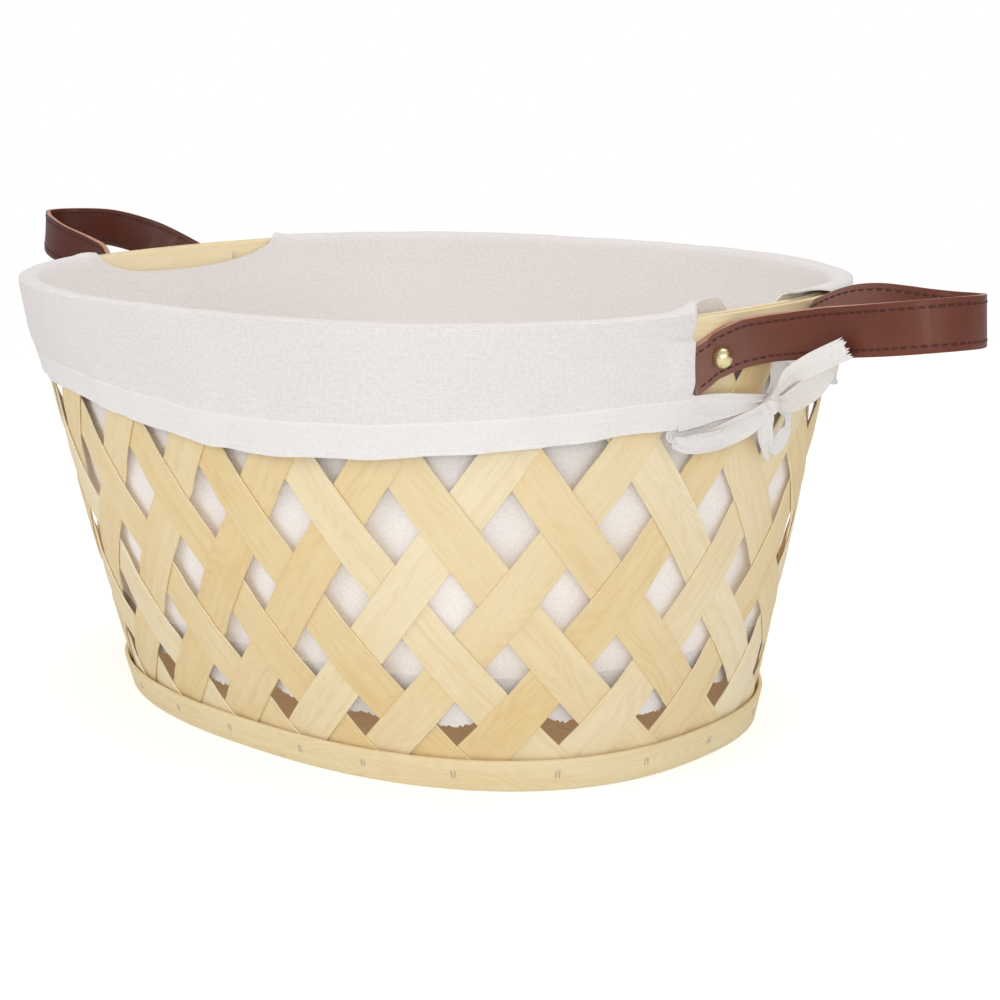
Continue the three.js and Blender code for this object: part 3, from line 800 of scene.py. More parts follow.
def strap_line(side):
    """Middle line, direction, width direction and length so far, along a strap."""
    stops = [*flat_end(side, -1), *STRAP_STOPS[side], *flat_end(side, 1)]
    rows = curve_through(stops, STRAP_LINE_STEPS)
    line, lean = rows[:, :3] * MM, np.radians(rows[:, 3:])
    tangent = unit(np.gradient(line, axis=0))
    upright = unit(np.array([0, 0, 1]) - tangent * tangent[:, 2:])
    outward = np.cross(tangent, upright) * (1 if side == "right" else -1)
    wide = upright * np.cos(lean) + outward * np.sin(lean)
    return line, tangent, wide, lengths_along(line)


for side in STRAP_STOPS:
    print("strap", side, "is", round(float(strap_line(side)[3][-1]), 4), "m long")

# %% [markdown]
# ## Straps
# When a handle is lifted, its ends stay on the rim and the strap bends just outside it. Here
# the strap and its stitches only have their place put into the mesh, and do not bend. The
# stitches are real thread and not a picture: one is modelled, and its copies stand in two
# rows on both faces.


def bend_with_handle(piece):
    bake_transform(piece)


# %% Leather of a strap
STRAP_STEPS = 300
STRAP_WIDE_STEPS = 8
STRAP_BEVEL = 0.45 * MM
# How much painted shade darkens each strap: only the left-hand one is painted darker.
STRAP_PAINTED_SHADE = {"right": 0.0, "left": 0.8}


def at_distance(distance, along, values):
    """Rows of three values, read between their known places along a line."""
    return np.stack([np.interp(distance, along, values[:, k]) for k in range(3)], axis=-1)


def bare_strap(side):
    line, _, wide, along = strap_line(side)
    length = along[-1]

    def place(u, v):
        across = ((v - 0.5) * STRAP_WIDTH)[:, None]
        return at_distance(u * length, along, line) + at_distance(u * length, along, wide) * across

    def pattern(u, v):
        return np.stack([u * length, (v - 0.5) * STRAP_WIDTH], axis=-1)

    strap = strip(f"strap_{side}", STRAP_STEPS, STRAP_WIDE_STEPS, place, pattern)
    mark_tone(strap, STRAP_PAINTED_SHADE[side])
    leather.put_on(strap)
    cut_edge.put_on(strap)
    thicken(strap, STRAP_THICKNESS, rim_material=1)
    rounded(strap, STRAP_BEVEL, segments=2, angle=50)
    smooth(strap)
    return strap


# %% Stitches of a strap
STITCH_LENGTH = 2.9 * MM
STITCH_PITCH = 4.6 * MM
STITCH_RADIUS = 0.5 * MM
STITCH_SUNK = STITCH_RADIUS * 0.3


def strap_stitches(side):
    line, tangent, wide, along = strap_line(side)
    stitch = primitive(
        bpy.ops.mesh.primitive_cylinder_add,
        vertices=6,
        radius=STITCH_RADIUS,
        depth=STITCH_LENGTH,
        rotation=(0, math.pi / 2, 0),
    )
    settle(stitch)
    shape = np.array([v.co for v in stitch.data.vertices])
    faces = [tuple(p.vertices) for p in stitch.data.polygons]
    points, every_face = [], []
    for distance in np.arange(STITCH_PITCH, along[-1] - STITCH_PITCH / 2, STITCH_PITCH):
        start = at_distance(distance, along, line)
        ahead = unit(at_distance(distance, along, tangent))
        up = unit(at_distance(distance, along, wide))
        facing = np.cross(ahead, up)
        turned = np.stack([ahead, up, facing])
        for edge in (1, -1):
            for face in (1, -1):
                middle = start + up * edge * (STRAP_WIDTH / 2 - STITCH_INSET)
                middle = middle + facing * face * (STRAP_THICKNESS / 2 - STITCH_SUNK)
                first = len(points) * len(shape)
                every_face += [tuple(first + i for i in corners) for corners in faces]
                points.append(shape @ turned + middle)
    stitch.data = bpy.data.meshes.new(f"strap_stitches_{side}")
    stitch.data.from_pydata(np.concatenate(points).tolist(), [], every_face)
    stitch.name = f"strap_stitches_{side}"
    smooth(stitch)
    thread.put_on(stitch)
    print(stitch.name, "has", len(points), "stitches")
    return stitch


# %% Straps in place
for side in STRAP_STOPS:
    strap = bare_strap(side)
    for piece in (strap, strap_stitches(side)):
        bend_with_handle(piece)
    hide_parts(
        f"handle_loop_{side}", f"strap_tab_{side}_front", f"strap_tab_{side}_rear"
    )

# %% [markdown]
# ## Rivets
# A domed brass cap on the leather, a shank through the rim and a washer inside. The cap could
# be spun from a profile, but half a ball has the same form: it is cut, flattened, and its open
# edge is drawn down into a short straight skirt.

# %% Sizes of a rivet
CAP_RADIUS = 5.7 * MM
CAP_DOME = 3.2 * MM
CAP_SKIRT = 0.8 * MM
SHANK_RADIUS = 2 * MM
SHANK_BEVEL = 0.2 * MM
WASHER_RADIUS = 4 * MM
WASHER_THICKNESS = 1.2 * MM
WASHER_BEVEL = 0.3 * MM
CAP_SEAT = STRAP_SEAT + STRAP_THICKNESS

rivet_brass = Finish("rivet_brass", {"Metallic": 1.0})
worn = rivet_brass.noise(
    rivet_brass.node("ShaderNodeTexCoord", output="Object"), (420,) * 3, detail=4
)
rivet_brass.paint("Base Color", rivet_brass.mix(worn, colour(232, 218, 156), colour(248, 240, 196)))
rivet_brass.paint("Roughness", 0.2 + worn * 0.16)
print("brass has", len(rivet_brass.tree.nodes), "nodes")


# %% Parts of a rivet
def turned_disc(radius, depth, middle, bevel):
    disc = primitive(
        bpy.ops.mesh.primitive_cylinder_add,
        vertices=40,
        radius=radius,
        depth=depth,
        location=(0, 0, middle),
    )
    settle(disc)
    rounded(disc, bevel)
    return disc


def domed_cap():
    cap = primitive(
        bpy.ops.mesh.primitive_uv_sphere_add, segments=48, ring_count=24, radius=CAP_RADIUS
    )
    bpy.ops.object.mode_set(mode="EDIT")
    bpy.ops.mesh.select_all(action="SELECT")
    bpy.ops.mesh.bisect(
        plane_co=(0, 0, 0), plane_no=(0, 0, 1), clear_inner=True, use_fill=False
    )
    bpy.ops.transform.resize(value=(1, 1, CAP_DOME / CAP_RADIUS))
    bpy.ops.mesh.select_all(action="DESELECT")
    bpy.ops.object.mode_set(mode="OBJECT")
    for vertex in cap.data.vertices:
        vertex.select = vertex.co.z < 1e-6
    bpy.ops.object.mode_set(mode="EDIT")
    bpy.ops.mesh.select_mode(type="VERT")
    bpy.ops.mesh.extrude_region_move(TRANSFORM_OT_translate={"value": (0, 0, -CAP_SKIRT)})
    bpy.ops.mesh.edge_face_add()
    bpy.ops.object.mode_set(mode="OBJECT")
    cap.data.transform(Matrix.Translation((0, 0, CAP_SEAT + CAP_SKIRT)))
    return cap


# %% Brass rivets
def brass_rivet(name, share):
    cap = domed_cap()
    shank_length = CAP_SEAT + STRAP_SEAT + WASHER_THICKNESS / 2
    shank = turned_disc(SHANK_RADIUS, shank_length, CAP_SEAT - shank_length / 2, SHANK_BEVEL)
    washer_middle = -STRAP_SEAT - WASHER_THICKNESS / 2
    washer = turned_disc(WASHER_RADIUS, WASHER_THICKNESS, washer_middle, WASHER_BEVEL)
    piece = join([cap, shank, washer], name)
    normal = Vector(wall_normal(share, RIVET_HEIGHT))
    turned = normal.to_track_quat("Z", "Y").to_matrix().to_4x4()
    middle = Vector(wall_point(share, RIVET_HEIGHT, 0.0))
    piece.data.transform(Matrix.Translation(middle) @ turned)
    smooth(piece)
    rivet_brass.put_on(piece)
    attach(piece, "basket")
    return piece


RIVET_PLACES = {
    "right_front": -RIVET_DISTANCE / RIVET_ROUND,
    "right_rear": RIVET_DISTANCE / RIVET_ROUND,
    "left_front": 0.5 + RIVET_DISTANCE / RIVET_ROUND,
    "left_rear": 0.5 - RIVET_DISTANCE / RIVET_ROUND,
}
for place_name, share in RIVET_PLACES.items():
    rivet = brass_rivet(f"turned_rivet_{place_name}", share)
    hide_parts(f"rivet_{place_name}")
print("rivets", len(RIVET_PLACES), "with", len(rivet.data.polygons), "faces each")

# %% [markdown]
# ## Cloth
# The liner and its ribbons are an unbleached plain weave. Its threads are a millimetre apart,
# some are thicker than others, and a few specks of husk are spun in. A seam runs along the
# cuffs, a little above their hem. The bag is one layer of thin cloth, and daylight from the
# open top shows through it: a faint glow between its threads stands for that light. The weave
# is drawn by two crossed waves, because threads so fine would take millions of faces.

# %% Cloth finishes
THREAD_PITCH = 1.15 * MM
WAVE_TO_TURNS = math.pi / 10
BAG_GLOW = 0.19
BAG_DEPTHS = (0.25, 0.325)
SEAM_SIDE = (0.3 * MM, 1.0 * MM)
SEAM_DOUBLED = 1 * MM


def cloth_finish(name, pale, shade, seam_depth=None):
    cloth = Finish(name, {"Roughness": 0.95, "Sheen Weight": 0.12, "Sheen Roughness": 0.6})
    laid = cloth.laid()
    turns = WAVE_TO_TURNS / THREAD_PITCH
    warp_slub = cloth.noise(laid, (1100, 18, 1), detail=2)
    weft_slub = cloth.noise(laid, (16, 1200, 1), detail=2)
    quarter = {"Vector": laid, "Angle": math.pi / 2}
    sideways = cloth.node("ShaderNodeVectorRotate", {"rotation_type": "Z_AXIS"}, quarter)
    threads = cloth.waves(laid, (turns, 0, 0)) * 0.5 + cloth.waves(sideways, (turns, 0, 0)) * 0.5
    slubs = warp_slub.band(0.55, 0.8) * 0.4 + weft_slub.band(0.55, 0.8) * 0.6
    clouds = cloth.noise(laid, (12, 12, 1), detail=3)
    uneven = cloth.noise(laid, (480, 520, 1), detail=4, roughness=0.7).band(0.35, 0.7)
    husk = cloth.noise(laid, (420, 520, 1), detail=1).band(0.76, 0.82)
    darker = (1 - threads) * (0.2 + uneven * 0.25) + slubs * 0.2 + uneven * 0.12 + clouds * 0.2
    shown = cloth.mix(husk * 0.22, cloth.mix(darker, pale, shade), colour(186, 168, 146))
    height = threads * 0.6 + slubs * 0.5
    if seam_depth is not None:
        _, depth = cloth.split(laid)
        in_bag = 1 - depth.band(*BAG_DEPTHS)
        through = cloth.mix(in_bag, (0, 0, 0, 1), colour(255, 240, 222))
        cloth.paint("Emission Color", cloth.mix(threads * 0.5 + uneven * 0.1, through, (0, 0, 0, 1)))
        cloth.surface.inputs["Emission Strength"].default_value = BAG_GLOW
        seam = 1 - (depth - seam_depth).math("ABSOLUTE").band(*SEAM_SIDE)
        doubled = depth.band(seam_depth, seam_depth + SEAM_DOUBLED)
        shown = cloth.mix(seam * 0.5 + doubled * 0.3, shown, colour(248, 246, 244))
        height = height - seam * 0.7
    cloth.paint("Base Color", shown)
    cloth.bump(height, 0.3 * MM, 0.5)
    return cloth


# %% Cloth of the liner and of the ribbons
CLOTH_DEPTH = {"floor": 0.17, "wall": 0.365, "fold": 0.393, "cuff": 0.444, "hem": 0.459}
SEAM_ABOVE_HEM = 14.5 * MM

liner_cloth = cloth_finish(
    "liner_cloth", colour(243, 239, 237), colour(206, 197, 192), CLOTH_DEPTH["cuff"] - SEAM_ABOVE_HEM
)
ribbon_cloth = cloth_finish("ribbon_cloth", colour(245, 242, 240), colour(216, 208, 203))
print("liner cloth has", len(liner_cloth.tree.nodes), "nodes")

# %% [markdown]
# ## The liner
# One cloth bag hangs inside the basket. Its front and rear edges turn out over the rim as
# cuffs, and at each end it dips and leaves the wood bare. The whole cloth is one grid: its
# columns go round the basket, and its rows go from the middle of the floor, up the wall,
# over the rim and down to the hem. Beside a cuff the cloth comes off the rim slowly, so its
# turn over the rim closes from column to column. Behind the right-hand handle it stays half
# turned, as a soft roll along the rim. Distances are counted from the middle of each end,
# along the rim. A cloth simulation would also drape the bag, but it wouldn't put the edges of
# the cuffs, the dips and the roll where the photograph has them.

# %% Columns and rows of the liner
CUFF_FROM_END = {"right": (60 * MM, 98 * MM), "left": (72 * MM, 100 * MM)}
GAP_COLUMNS, CUFF_COLUMNS = 90, 168
rear_start = CUFF_FROM_END["right"][1] / RIM_ROUND
rear_end = 0.5 - CUFF_FROM_END["left"][1] / RIM_ROUND
front_start = 0.5 + CUFF_FROM_END["left"][0] / RIM_ROUND
front_end = 1 - CUFF_FROM_END["right"][0] / RIM_ROUND
column_marks = np.cumsum([0, CUFF_COLUMNS, GAP_COLUMNS, CUFF_COLUMNS, GAP_COLUMNS])
column_shares = [rear_start, rear_end, front_start, front_end, 1 + rear_start]
liner_columns = int(column_marks[-1])

FLOOR_ROWS, WALL_ROWS, FOLD_ROWS, CUFF_ROWS, HEM_ROWS = 16, 44, 16, 24, 8
row_marks = np.cumsum([0, FLOOR_ROWS, WALL_ROWS, FOLD_ROWS, CUFF_ROWS, HEM_ROWS])
liner_rows = int(row_marks[-1])
print("liner has", liner_columns, "columns and", liner_rows, "rows")


# %% Ends of the basket
def smooth_step(low, high, value):
    part = np.clip((value - low) / (high - low), 0, 1)
    return part * part * (3 - 2 * part)


def at_right(share):
    return np.abs((share + 0.5) % 1 - 0.5) < 0.25


def from_end(share):
    """Signed distance from the nearer end's middle, positive towards the rear."""
    return np.where(at_right(share), (share + 0.5) % 1 - 0.5, 0.5 - share % 1) * RIM_ROUND


# %% Where the cloth turns over the rim
CROSSING = {"right": (9 * MM, 14 * MM), "left": (12 * MM, 18 * MM)}
ROLLED = (0.5, 0.36)
ROLL_STEPS = ((12 * MM, 30 * MM), (34 * MM, 66 * MM))


def open_turn(share):
    """How far the cloth still turns over the rim: 1 on a cuff, 0 once it has come off."""
    place = from_end(share)
    rolled = ROLLED[0] * smooth_step(*ROLL_STEPS[0], place)
    rolled = rolled + ROLLED[1] * smooth_step(*ROLL_STEPS[1], place)
    opened = np.where(at_right(share), rolled, 0)
    for end, here in (("right", at_right(share)), ("left", ~at_right(share))):
        for sign, cuff, crossing in zip((-1, 1), CUFF_FROM_END[end], CROSSING[end]):
            side = smooth_step(cuff - crossing, cuff, place * sign)
            opened = np.where(here, np.maximum(opened, side), opened)
    return opened


def ripple(share, counts, seed):
    """A smooth seeded wave round the basket, about -1 to 1."""
    chosen = np.random.default_rng(seed)
    total = np.zeros_like(share)
    for count in counts:
        total += chosen.uniform(0.5, 1) * np.sin(2 * math.pi * (count * share + chosen.uniform()))
    return total / math.sqrt(len(counts))


# %% Dips of the bag's top edge
DIPS = {
    "right": np.array([
        (-75, 249), (-60, 253), (-52, 259), (-46, 262), (-37, 262.4), (-31, 260), (-25, 253.5),
        (-20, 249), (-10, 243), (0, 242), (8, 247), (14, 251), (24, 252.5), (40, 251.5),
        (60, 250.5), (80, 249.5), (98, 249),
    ]) * MM,
    "left": np.array([
        (-78, 249), (-70, 251.5), (-60, 251.6), (-49, 247), (-36, 243.5), (-21, 242), (0, 241.2),
        (21, 240.9), (41, 241.9), (55, 243.6), (70, 247), (83, 252.6), (90, 253), (100, 249),
    ]) * MM,
}

# %% Edge of the cuffs and turn over the rim
CLOTH_THICKNESS = 0.9 * MM
DROP_SHARES = np.array([0.53, 0.66, 0.70, 0.72, 0.74, 0.765, 0.795, 0.818, 0.858, 0.888, 0.925, 0.97])
FRONT_DROPS = np.array([54, 53.5, 55.5, 59.7, 62.8, 66, 67.8, 66.8, 64, 60, 55.4, 54]) * MM
HEM_SHARES = np.array([0.53, 0.63, 0.67, 0.71, 0.76, 0.82, 0.90, 0.94, 0.97])
HEM_OUTS = np.array([3.4, 3.0, 3.0, 4.6, 7.0, 8.4, 8.0, 7.0, 6.6]) * MM
REAR_DROP = 55 * MM
REAR_HEM_OUT = 6.5 * MM
HEM_DEPTH = 15 * MM
SWING = 6 * MM
CUFF_HUG = HOOP_OUTER + CLOTH_THICKNESS
FOLD_START = HEIGHT - 6 * MM
FOLD_END = 10 * MM
FOLD_OUT = np.array([-7.3, -7.0, -6.0, -3.6, -0.6, 2.5, 4.6, 5.2, 5.3]) * MM
FOLD_RISE = np.array([-6.0, -1.6, 0.4, 1.2, 1.4, 1.3, 0.5, -3.5, -10.0]) * MM


# %% [markdown]
# ## The bag
# The bag hangs a little inside the wood, in soft upright folds. They are seeded waves round
# the basket that grow downwards. Its floor sags, and rounds up into the wall at its edge.

# %% Wall and floor of the bag
LINER_OUT = -7.3 * MM
BAG_BELLY = 2.2 * MM
BAG_TAPER = 1.4 * MM
BAG_FOLDS = 1.8 * MM
BEHIND_WOOD = -2.4 * MM
LINER_FLOOR = 42 * MM
LINER_FLOOR_SAG = 7 * MM
LINER_CORNER = 14 * MM
FLAT_FLOOR = 0.75
FLOOR_CRUMPLE = 1.6 * MM
ROW_CROWDING = 1.6


def bag_wall(share, height):
    """How far out the bag hangs at a height, with its soft upright folds."""
    down = np.clip((HEIGHT - height) / HEIGHT, 0, 1)
    belly = BAG_BELLY * smooth_step(0.1, 0.3, down) * (1 - smooth_step(0.68, 0.9, down))
    taper = BAG_TAPER * smooth_step(0.7, 0.9, down)
    folds = BAG_FOLDS * ripple(share, (7, 11, 16, 23), 3) * smooth_step(0.1, 0.35, down)
    return np.minimum(LINER_OUT + belly - taper + folds, BEHIND_WOOD)


def bag_floor(share, foot, part):
    """The floor, which rounds up into the wall over its last quarter."""
    radius = np.linalg.norm(foot[:, :2], axis=1)
    bend = np.clip((part - FLAT_FLOOR) / (1 - FLAT_FLOOR), 0, 1) * math.pi / 2
    flat = np.clip(part / FLAT_FLOOR, 0, 1)
    inwards = (radius - LINER_CORNER) * flat + LINER_CORNER * np.sin(bend)
    crumple = FLOOR_CRUMPLE * ripple(share, (5, 8, 11), 21) * np.sin(math.pi * part)
    height = LINER_FLOOR + LINER_CORNER * (1 - np.cos(bend)) + crumple
    height = height - LINER_FLOOR_SAG * (1 - flat**2)
    reach = (inwards / radius)[:, None]
    return np.concatenate([foot[:, :2] * reach, height[:, None]], axis=1)


# %% [markdown]
# ## The cuffs
# A cuff lies close on the hoop and hangs free below it, with creases, and its hem is turned up
# behind it. Beside the right-hand strap it lies over the strap's end, as in the photograph.

# %% Outside of a cuff
BESIDE_STRAP = (TAB_END + 6 * MM, TAB_END + 18 * MM)
STRAP_BOTTOM = (212 * MM, 224 * MM)
STRAP_TOP = (246 * MM, 252 * MM)
OVER_STRAP = STRAP_THICKNESS + 0.4 * MM
DROP_WAVE = 0.7 * MM
HEM_WAVE = 0.6 * MM
CUFF_WRINKLE = 0.5 * MM
CUFF_CREASE = 0.9 * MM


def cuff_shape(share, part):
    """Height and offset of the cuff, from under the rim's turn to its hem."""
    place = from_end(share)
    front = (share > 0.5) & (share < 1)
    drop = np.where(front, np.interp(share, DROP_SHARES, FRONT_DROPS), REAR_DROP)
    drop = drop + DROP_WAVE * ripple(share, (9, 16, 27), 8)
    hem_out = np.where(front, np.interp(share, HEM_SHARES, HEM_OUTS), REAR_HEM_OUT)
    hem_out = hem_out + HEM_WAVE * ripple(share, (21, 33, 47), 9)
    height = HEIGHT - FOLD_END - (drop - FOLD_END) * part
    below = np.clip((RIM_HOOP_BOTTOM - height) / (RIM_HOOP_BOTTOM - HEIGHT + drop), 0, 1)
    out = CUFF_HUG + (hem_out - CUFF_HUG) * below
    beside_strap = 1 - smooth_step(*BESIDE_STRAP, -place)
    over_strap = smooth_step(*STRAP_BOTTOM, height) * (1 - smooth_step(*STRAP_TOP, height))
    out = out + OVER_STRAP * beside_strap * over_strap
    wrinkle = ripple(share + 0.01 * np.sin(height / MM / 9), (17, 31, 44, 58), 14)
    crease = ripple(share - 0.02 * (height - HEIGHT) / (40 * MM), (13, 24, 37), 15)
    loose = CUFF_WRINKLE * wrinkle * part + CUFF_CREASE * crease * np.sin(math.pi * part)
    return height, np.maximum(out + loose, np.minimum(out, CUFF_HUG)), hem_out, drop


# %% Rows of the whole cloth
def liner_row(u, v):
    """Share round the basket and row of the cloth, with the turn closed beside the cuffs."""
    share = np.interp(u * liner_columns, column_marks, column_shares)
    row = v * liner_rows
    turn = np.clip(row, row_marks[2], row_marks[3]) - row_marks[2]
    return share, row - turn * (1 - open_turn(share))


# %% The whole cloth
PUFF = {"right": 1.0 * MM, "left": 0.5 * MM}
PUFF_IN_FRONT = (-105 * MM, -70 * MM)
PUFF_FRONT_END = -52 * MM
PUFF_BEHIND = (12 * MM, 45 * MM)
PUFF_BEHIND_END = (80 * MM, 130 * MM)
FOLD_LOOSE = 0.3 * MM
SWING_PLACES = (60 * MM, 110 * MM)
HEM_ROUND = 0.5 * MM
HEM_BACK = 1.3 * MM
HEM_LEAST_OUT = 1.8 * MM


def liner_place(u, v):
    share, row = liner_row(u, v)
    stage = [
        np.clip((row - row_marks[k]) / (row_marks[k + 1] - row_marks[k]), 0, 1) for k in range(5)
    ]
    place = from_end(share)

    # Wall, with its rows closer together towards the rim
    corner = LINER_FLOOR + LINER_CORNER
    edges = [np.interp(place, *DIPS[end].T) for end in ("right", "left")]
    top = np.where(at_right(share), *edges)
    height = corner + (top - corner) * (1 - (1 - stage[1]) ** ROW_CROWDING)
    points = wall_point(share, height, bag_wall(share, height))
    foot = wall_point(share, corner, bag_wall(share, np.full_like(share, corner)))
    floor = bag_floor(share, foot, stage[0])
    points = np.where((row < row_marks[1])[:, None], floor, points)

    # Over the rim, a little puffed up beside the cuffs
    marks = np.linspace(0, 1, len(FOLD_OUT))
    beside = 0.4 * smooth_step(*PUFF_IN_FRONT, place) * (place < PUFF_FRONT_END)
    beside += smooth_step(*PUFF_BEHIND, place) * (1 - smooth_step(*PUFF_BEHIND_END, place))
    puff = np.where(at_right(share), PUFF["right"], PUFF["left"]) * beside
    loose = FOLD_LOOSE + FOLD_LOOSE * ripple(share, (7, 12, 19, 31), 5) + puff
    fold_rise = np.interp(stage[2], marks, FOLD_RISE) + loose * np.sin(math.pi * stage[2])
    fold_rise = fold_rise + (top - FOLD_START) * (1 - stage[2])
    over = wall_point(share, HEIGHT + fold_rise, np.interp(stage[2], marks, FOLD_OUT))
    points = np.where((row > row_marks[2])[:, None], over, points)

    # Down the outside, swinging towards the ends of the basket
    cuff_height, cuff_out, hem_out, drop = cuff_shape(share, stage[3])
    near_end = 1 - smooth_step(*SWING_PLACES, np.abs(place))
    swing = SWING * near_end * stage[3] ** 1.5 / RIM_ROUND
    swung = share - swing * np.sign(np.sin(4 * math.pi * share))
    cuff = wall_point(swung, cuff_height, cuff_out)
    points = np.where((row > row_marks[3])[:, None], cuff, points)

    # The hem, turned up behind the cuff
    tuck = np.clip(stage[4] * 4, 0, 1)
    hem_height = HEIGHT - drop + HEM_DEPTH * stage[4] - HEM_ROUND * np.sin(math.pi * tuck)
    hem_back = cuff_shape(share, (hem_height - HEIGHT + FOLD_END) / (FOLD_END - drop))[1]
    hem = wall_point(swung, hem_height, np.maximum(hem_back - HEM_BACK * tuck, HEM_LEAST_OUT))
    return np.where((row > row_marks[4])[:, None], hem, points)


# %% Pattern of the cloth
def liner_pattern(u, v):
    """Metres round and down the cloth, even along it although its rows are not."""
    share, row = liner_row(u, v)
    steps = np.hypot(np.diff(FOLD_OUT), np.diff(FOLD_RISE))
    round_fold = np.concatenate([[0], np.cumsum(steps)]) / steps.sum()
    in_wall = np.clip((row - row_marks[1]) / WALL_ROWS, 0, 1)
    in_fold = np.clip((row - row_marks[2]) / FOLD_ROWS, 0, 1) * (len(round_fold) - 1)
    wall_row = row_marks[1] + WALL_ROWS * (1 - (1 - in_wall) ** ROW_CROWDING)
    fold_row = row_marks[2] + FOLD_ROWS * np.interp(in_fold, np.arange(len(round_fold)), round_fold)
    row = np.where(row < row_marks[1], row, np.where(row < row_marks[2], wall_row, row))
    row = np.where((row > row_marks[2]) & (row < row_marks[3]), fold_row, row)
    depths = np.interp(row, row_marks, [0, *CLOTH_DEPTH.values()])
    return np.stack([share * RIM_ROUND, depths], axis=-1)


# %% Draped liner
def on_cloth(u, v):
    """Whether a face is part of the cloth: a cuff is only where the turn is fully open."""
    share = np.interp(u * liner_columns, column_marks, column_shares)
    cuff = ((share > rear_start) & (share < rear_end)) | ((share > front_start) & (share < front_end))
    last = np.where(cuff, liner_rows, np.where(open_turn(share) > 0.001, row_marks[3], row_marks[2]))
    return v * liner_rows < last


liner = strip(
    "draped_liner", liner_columns, liner_rows, liner_place, liner_pattern, closed=True, keep=on_cloth
)
thicken(liner, CLOTH_THICKNESS)
smooth(liner, 60)
liner_cloth.put_on(liner)
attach(liner, "basket")
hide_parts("liner")
area = sum(p.area for p in liner.data.polygons) / 2
print("liner", len(liner.data.polygons), "faces, cloth area", round(area, 3), "m2")

# %% [markdown]
# ## Raw seam
# The bag's floor is sewn on with its raw edges outside. They hang down at the bag's lower
# corner, and the lowest holes of the weave show them: a ragged band of cloth. Its lower edge
# has a seeded tooth at each column.

# %% Raw seam of the bag
SEAM_TOP = 64 * MM
SEAM_BOTTOM = 37 * MM
SEAM_COLUMNS = 900
SEAM_WIDE_STEPS = 6
SEAM_OUT = 1.2 * MM
SEAM_BEHIND_WOOD = -2.2 * MM
SEAM_WAVE = 3.5 * MM
SEAM_TOOTH = 2.2 * MM
SEAM_SWAY = 1.2 * MM
THIN_CLOTH = 0.7 * MM
SEAM_ROUND = float(perimeter(SEAM_TOP))
seam_random = np.random.default_rng(31)
seam_teeth = seam_random.uniform(0, 1, SEAM_COLUMNS + 1)
seam_teeth[-1] = seam_teeth[0]


def seam_place(u, v):
    teeth = np.interp(u * SEAM_COLUMNS, np.arange(SEAM_COLUMNS + 1), seam_teeth)
    ragged = SEAM_WAVE * ripple(u, (9, 14, 22, 37), 17) + SEAM_TOOTH * teeth
    bottom = SEAM_BOTTOM + ragged
    height = SEAM_TOP + (bottom - SEAM_TOP) * v
    sway = SEAM_SWAY * ripple(u, (13, 21, 34), 18) * v
    out = bag_wall(u, np.full_like(u, SEAM_TOP)) + SEAM_OUT + sway
    return wall_point(u, height, np.minimum(out, SEAM_BEHIND_WOOD))


def seam_pattern(u, v):
    return np.stack([u * SEAM_ROUND, v * (SEAM_TOP - SEAM_BOTTOM)], axis=-1)


raw_seam = strip(
    "liner_raw_seam", SEAM_COLUMNS, SEAM_WIDE_STEPS, seam_place, seam_pattern, closed=True
)
thicken(raw_seam, THIN_CLOTH)
smooth(raw_seam, 60)
ribbon_cloth.put_on(raw_seam)
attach(raw_seam, "basket")
print("raw seam", len(raw_seam.data.polygons), "faces")

# %% [markdown]
# ## Ribbons
# Ribbons sewn to the cuffs are tied in a bow at each end of the basket. Each length of
# ribbon is a narrow strip along a smooth line, a little hollow across, with fine wrinkles that
# are stronger where it is pulled narrow. A stop gives a place and a width in millimetres, and
# the direction that the ribbon faces there.


# %% Ribbon maker
RIBBON_STEPS = 60
RIBBON_WIDE_STEPS = 16
RIBBON_WRINKLES = (0.4 * MM, 0.25 * MM)
EASY_WIDTH = 9 * MM
FRAY = 1.3 * MM


def ribbon(name, stops, cup=0.0, seed=1, frayed=False):
    rows = curve_through([[*place, width, *facing] for place, width, facing in stops], RIBBON_STEPS + 1)
    line, width = rows[:, :3] * MM, rows[:, 3] * MM
    tangent = unit(np.gradient(line, axis=0))
    facing = rows[:, 4:7]
    facing = unit(facing - (facing * tangent).sum(axis=1, keepdims=True) * tangent)
    wide = np.cross(facing, tangent)
    along = lengths_along(line)
    chosen = np.random.default_rng(seed)
    phase = chosen.uniform(0, 2 * math.pi, 3)
    steps = np.arange(RIBBON_STEPS + 1)

    def at(u, values):
        return at_distance(u * RIBBON_STEPS, steps, values)

    def place(u, v):
        across = (v - 0.5) * 2
        reach = np.interp(u * RIBBON_STEPS, steps, width) / 2
        tight = np.clip(EASY_WIDTH / np.maximum(reach * 2, 1 * MM), 0.4, 2)
        lift = cup * reach * (across**2 - 0.4)
        lift += RIBBON_WRINKLES[0] * tight * np.sin(across * 5 + phase[0] + u * 7)
        lift += RIBBON_WRINKLES[1] * tight * np.sin(across * 10 + phase[1] + u * 15)
        points = at(u, line) + at(u, wide) * (across * reach)[:, None] + at(u, facing) * lift[:, None]
        if frayed:
            tooth = np.sin(across * 23 + phase[2]) + 0.6 * np.sin(across * 41)
            points += tangent[-1] * (np.where(u > 0.999, FRAY, 0) * tooth)[:, None]
        return points

    def pattern(u, v):
        return np.stack([u * along[-1] + seed, v * width.mean()], axis=-1)

    piece = strip(name, RIBBON_STEPS, RIBBON_WIDE_STEPS, place, pattern)
    thicken(piece, THIN_CLOTH)
    smooth(piece, 60)
    ribbon_cloth.put_on(piece)
    return piece


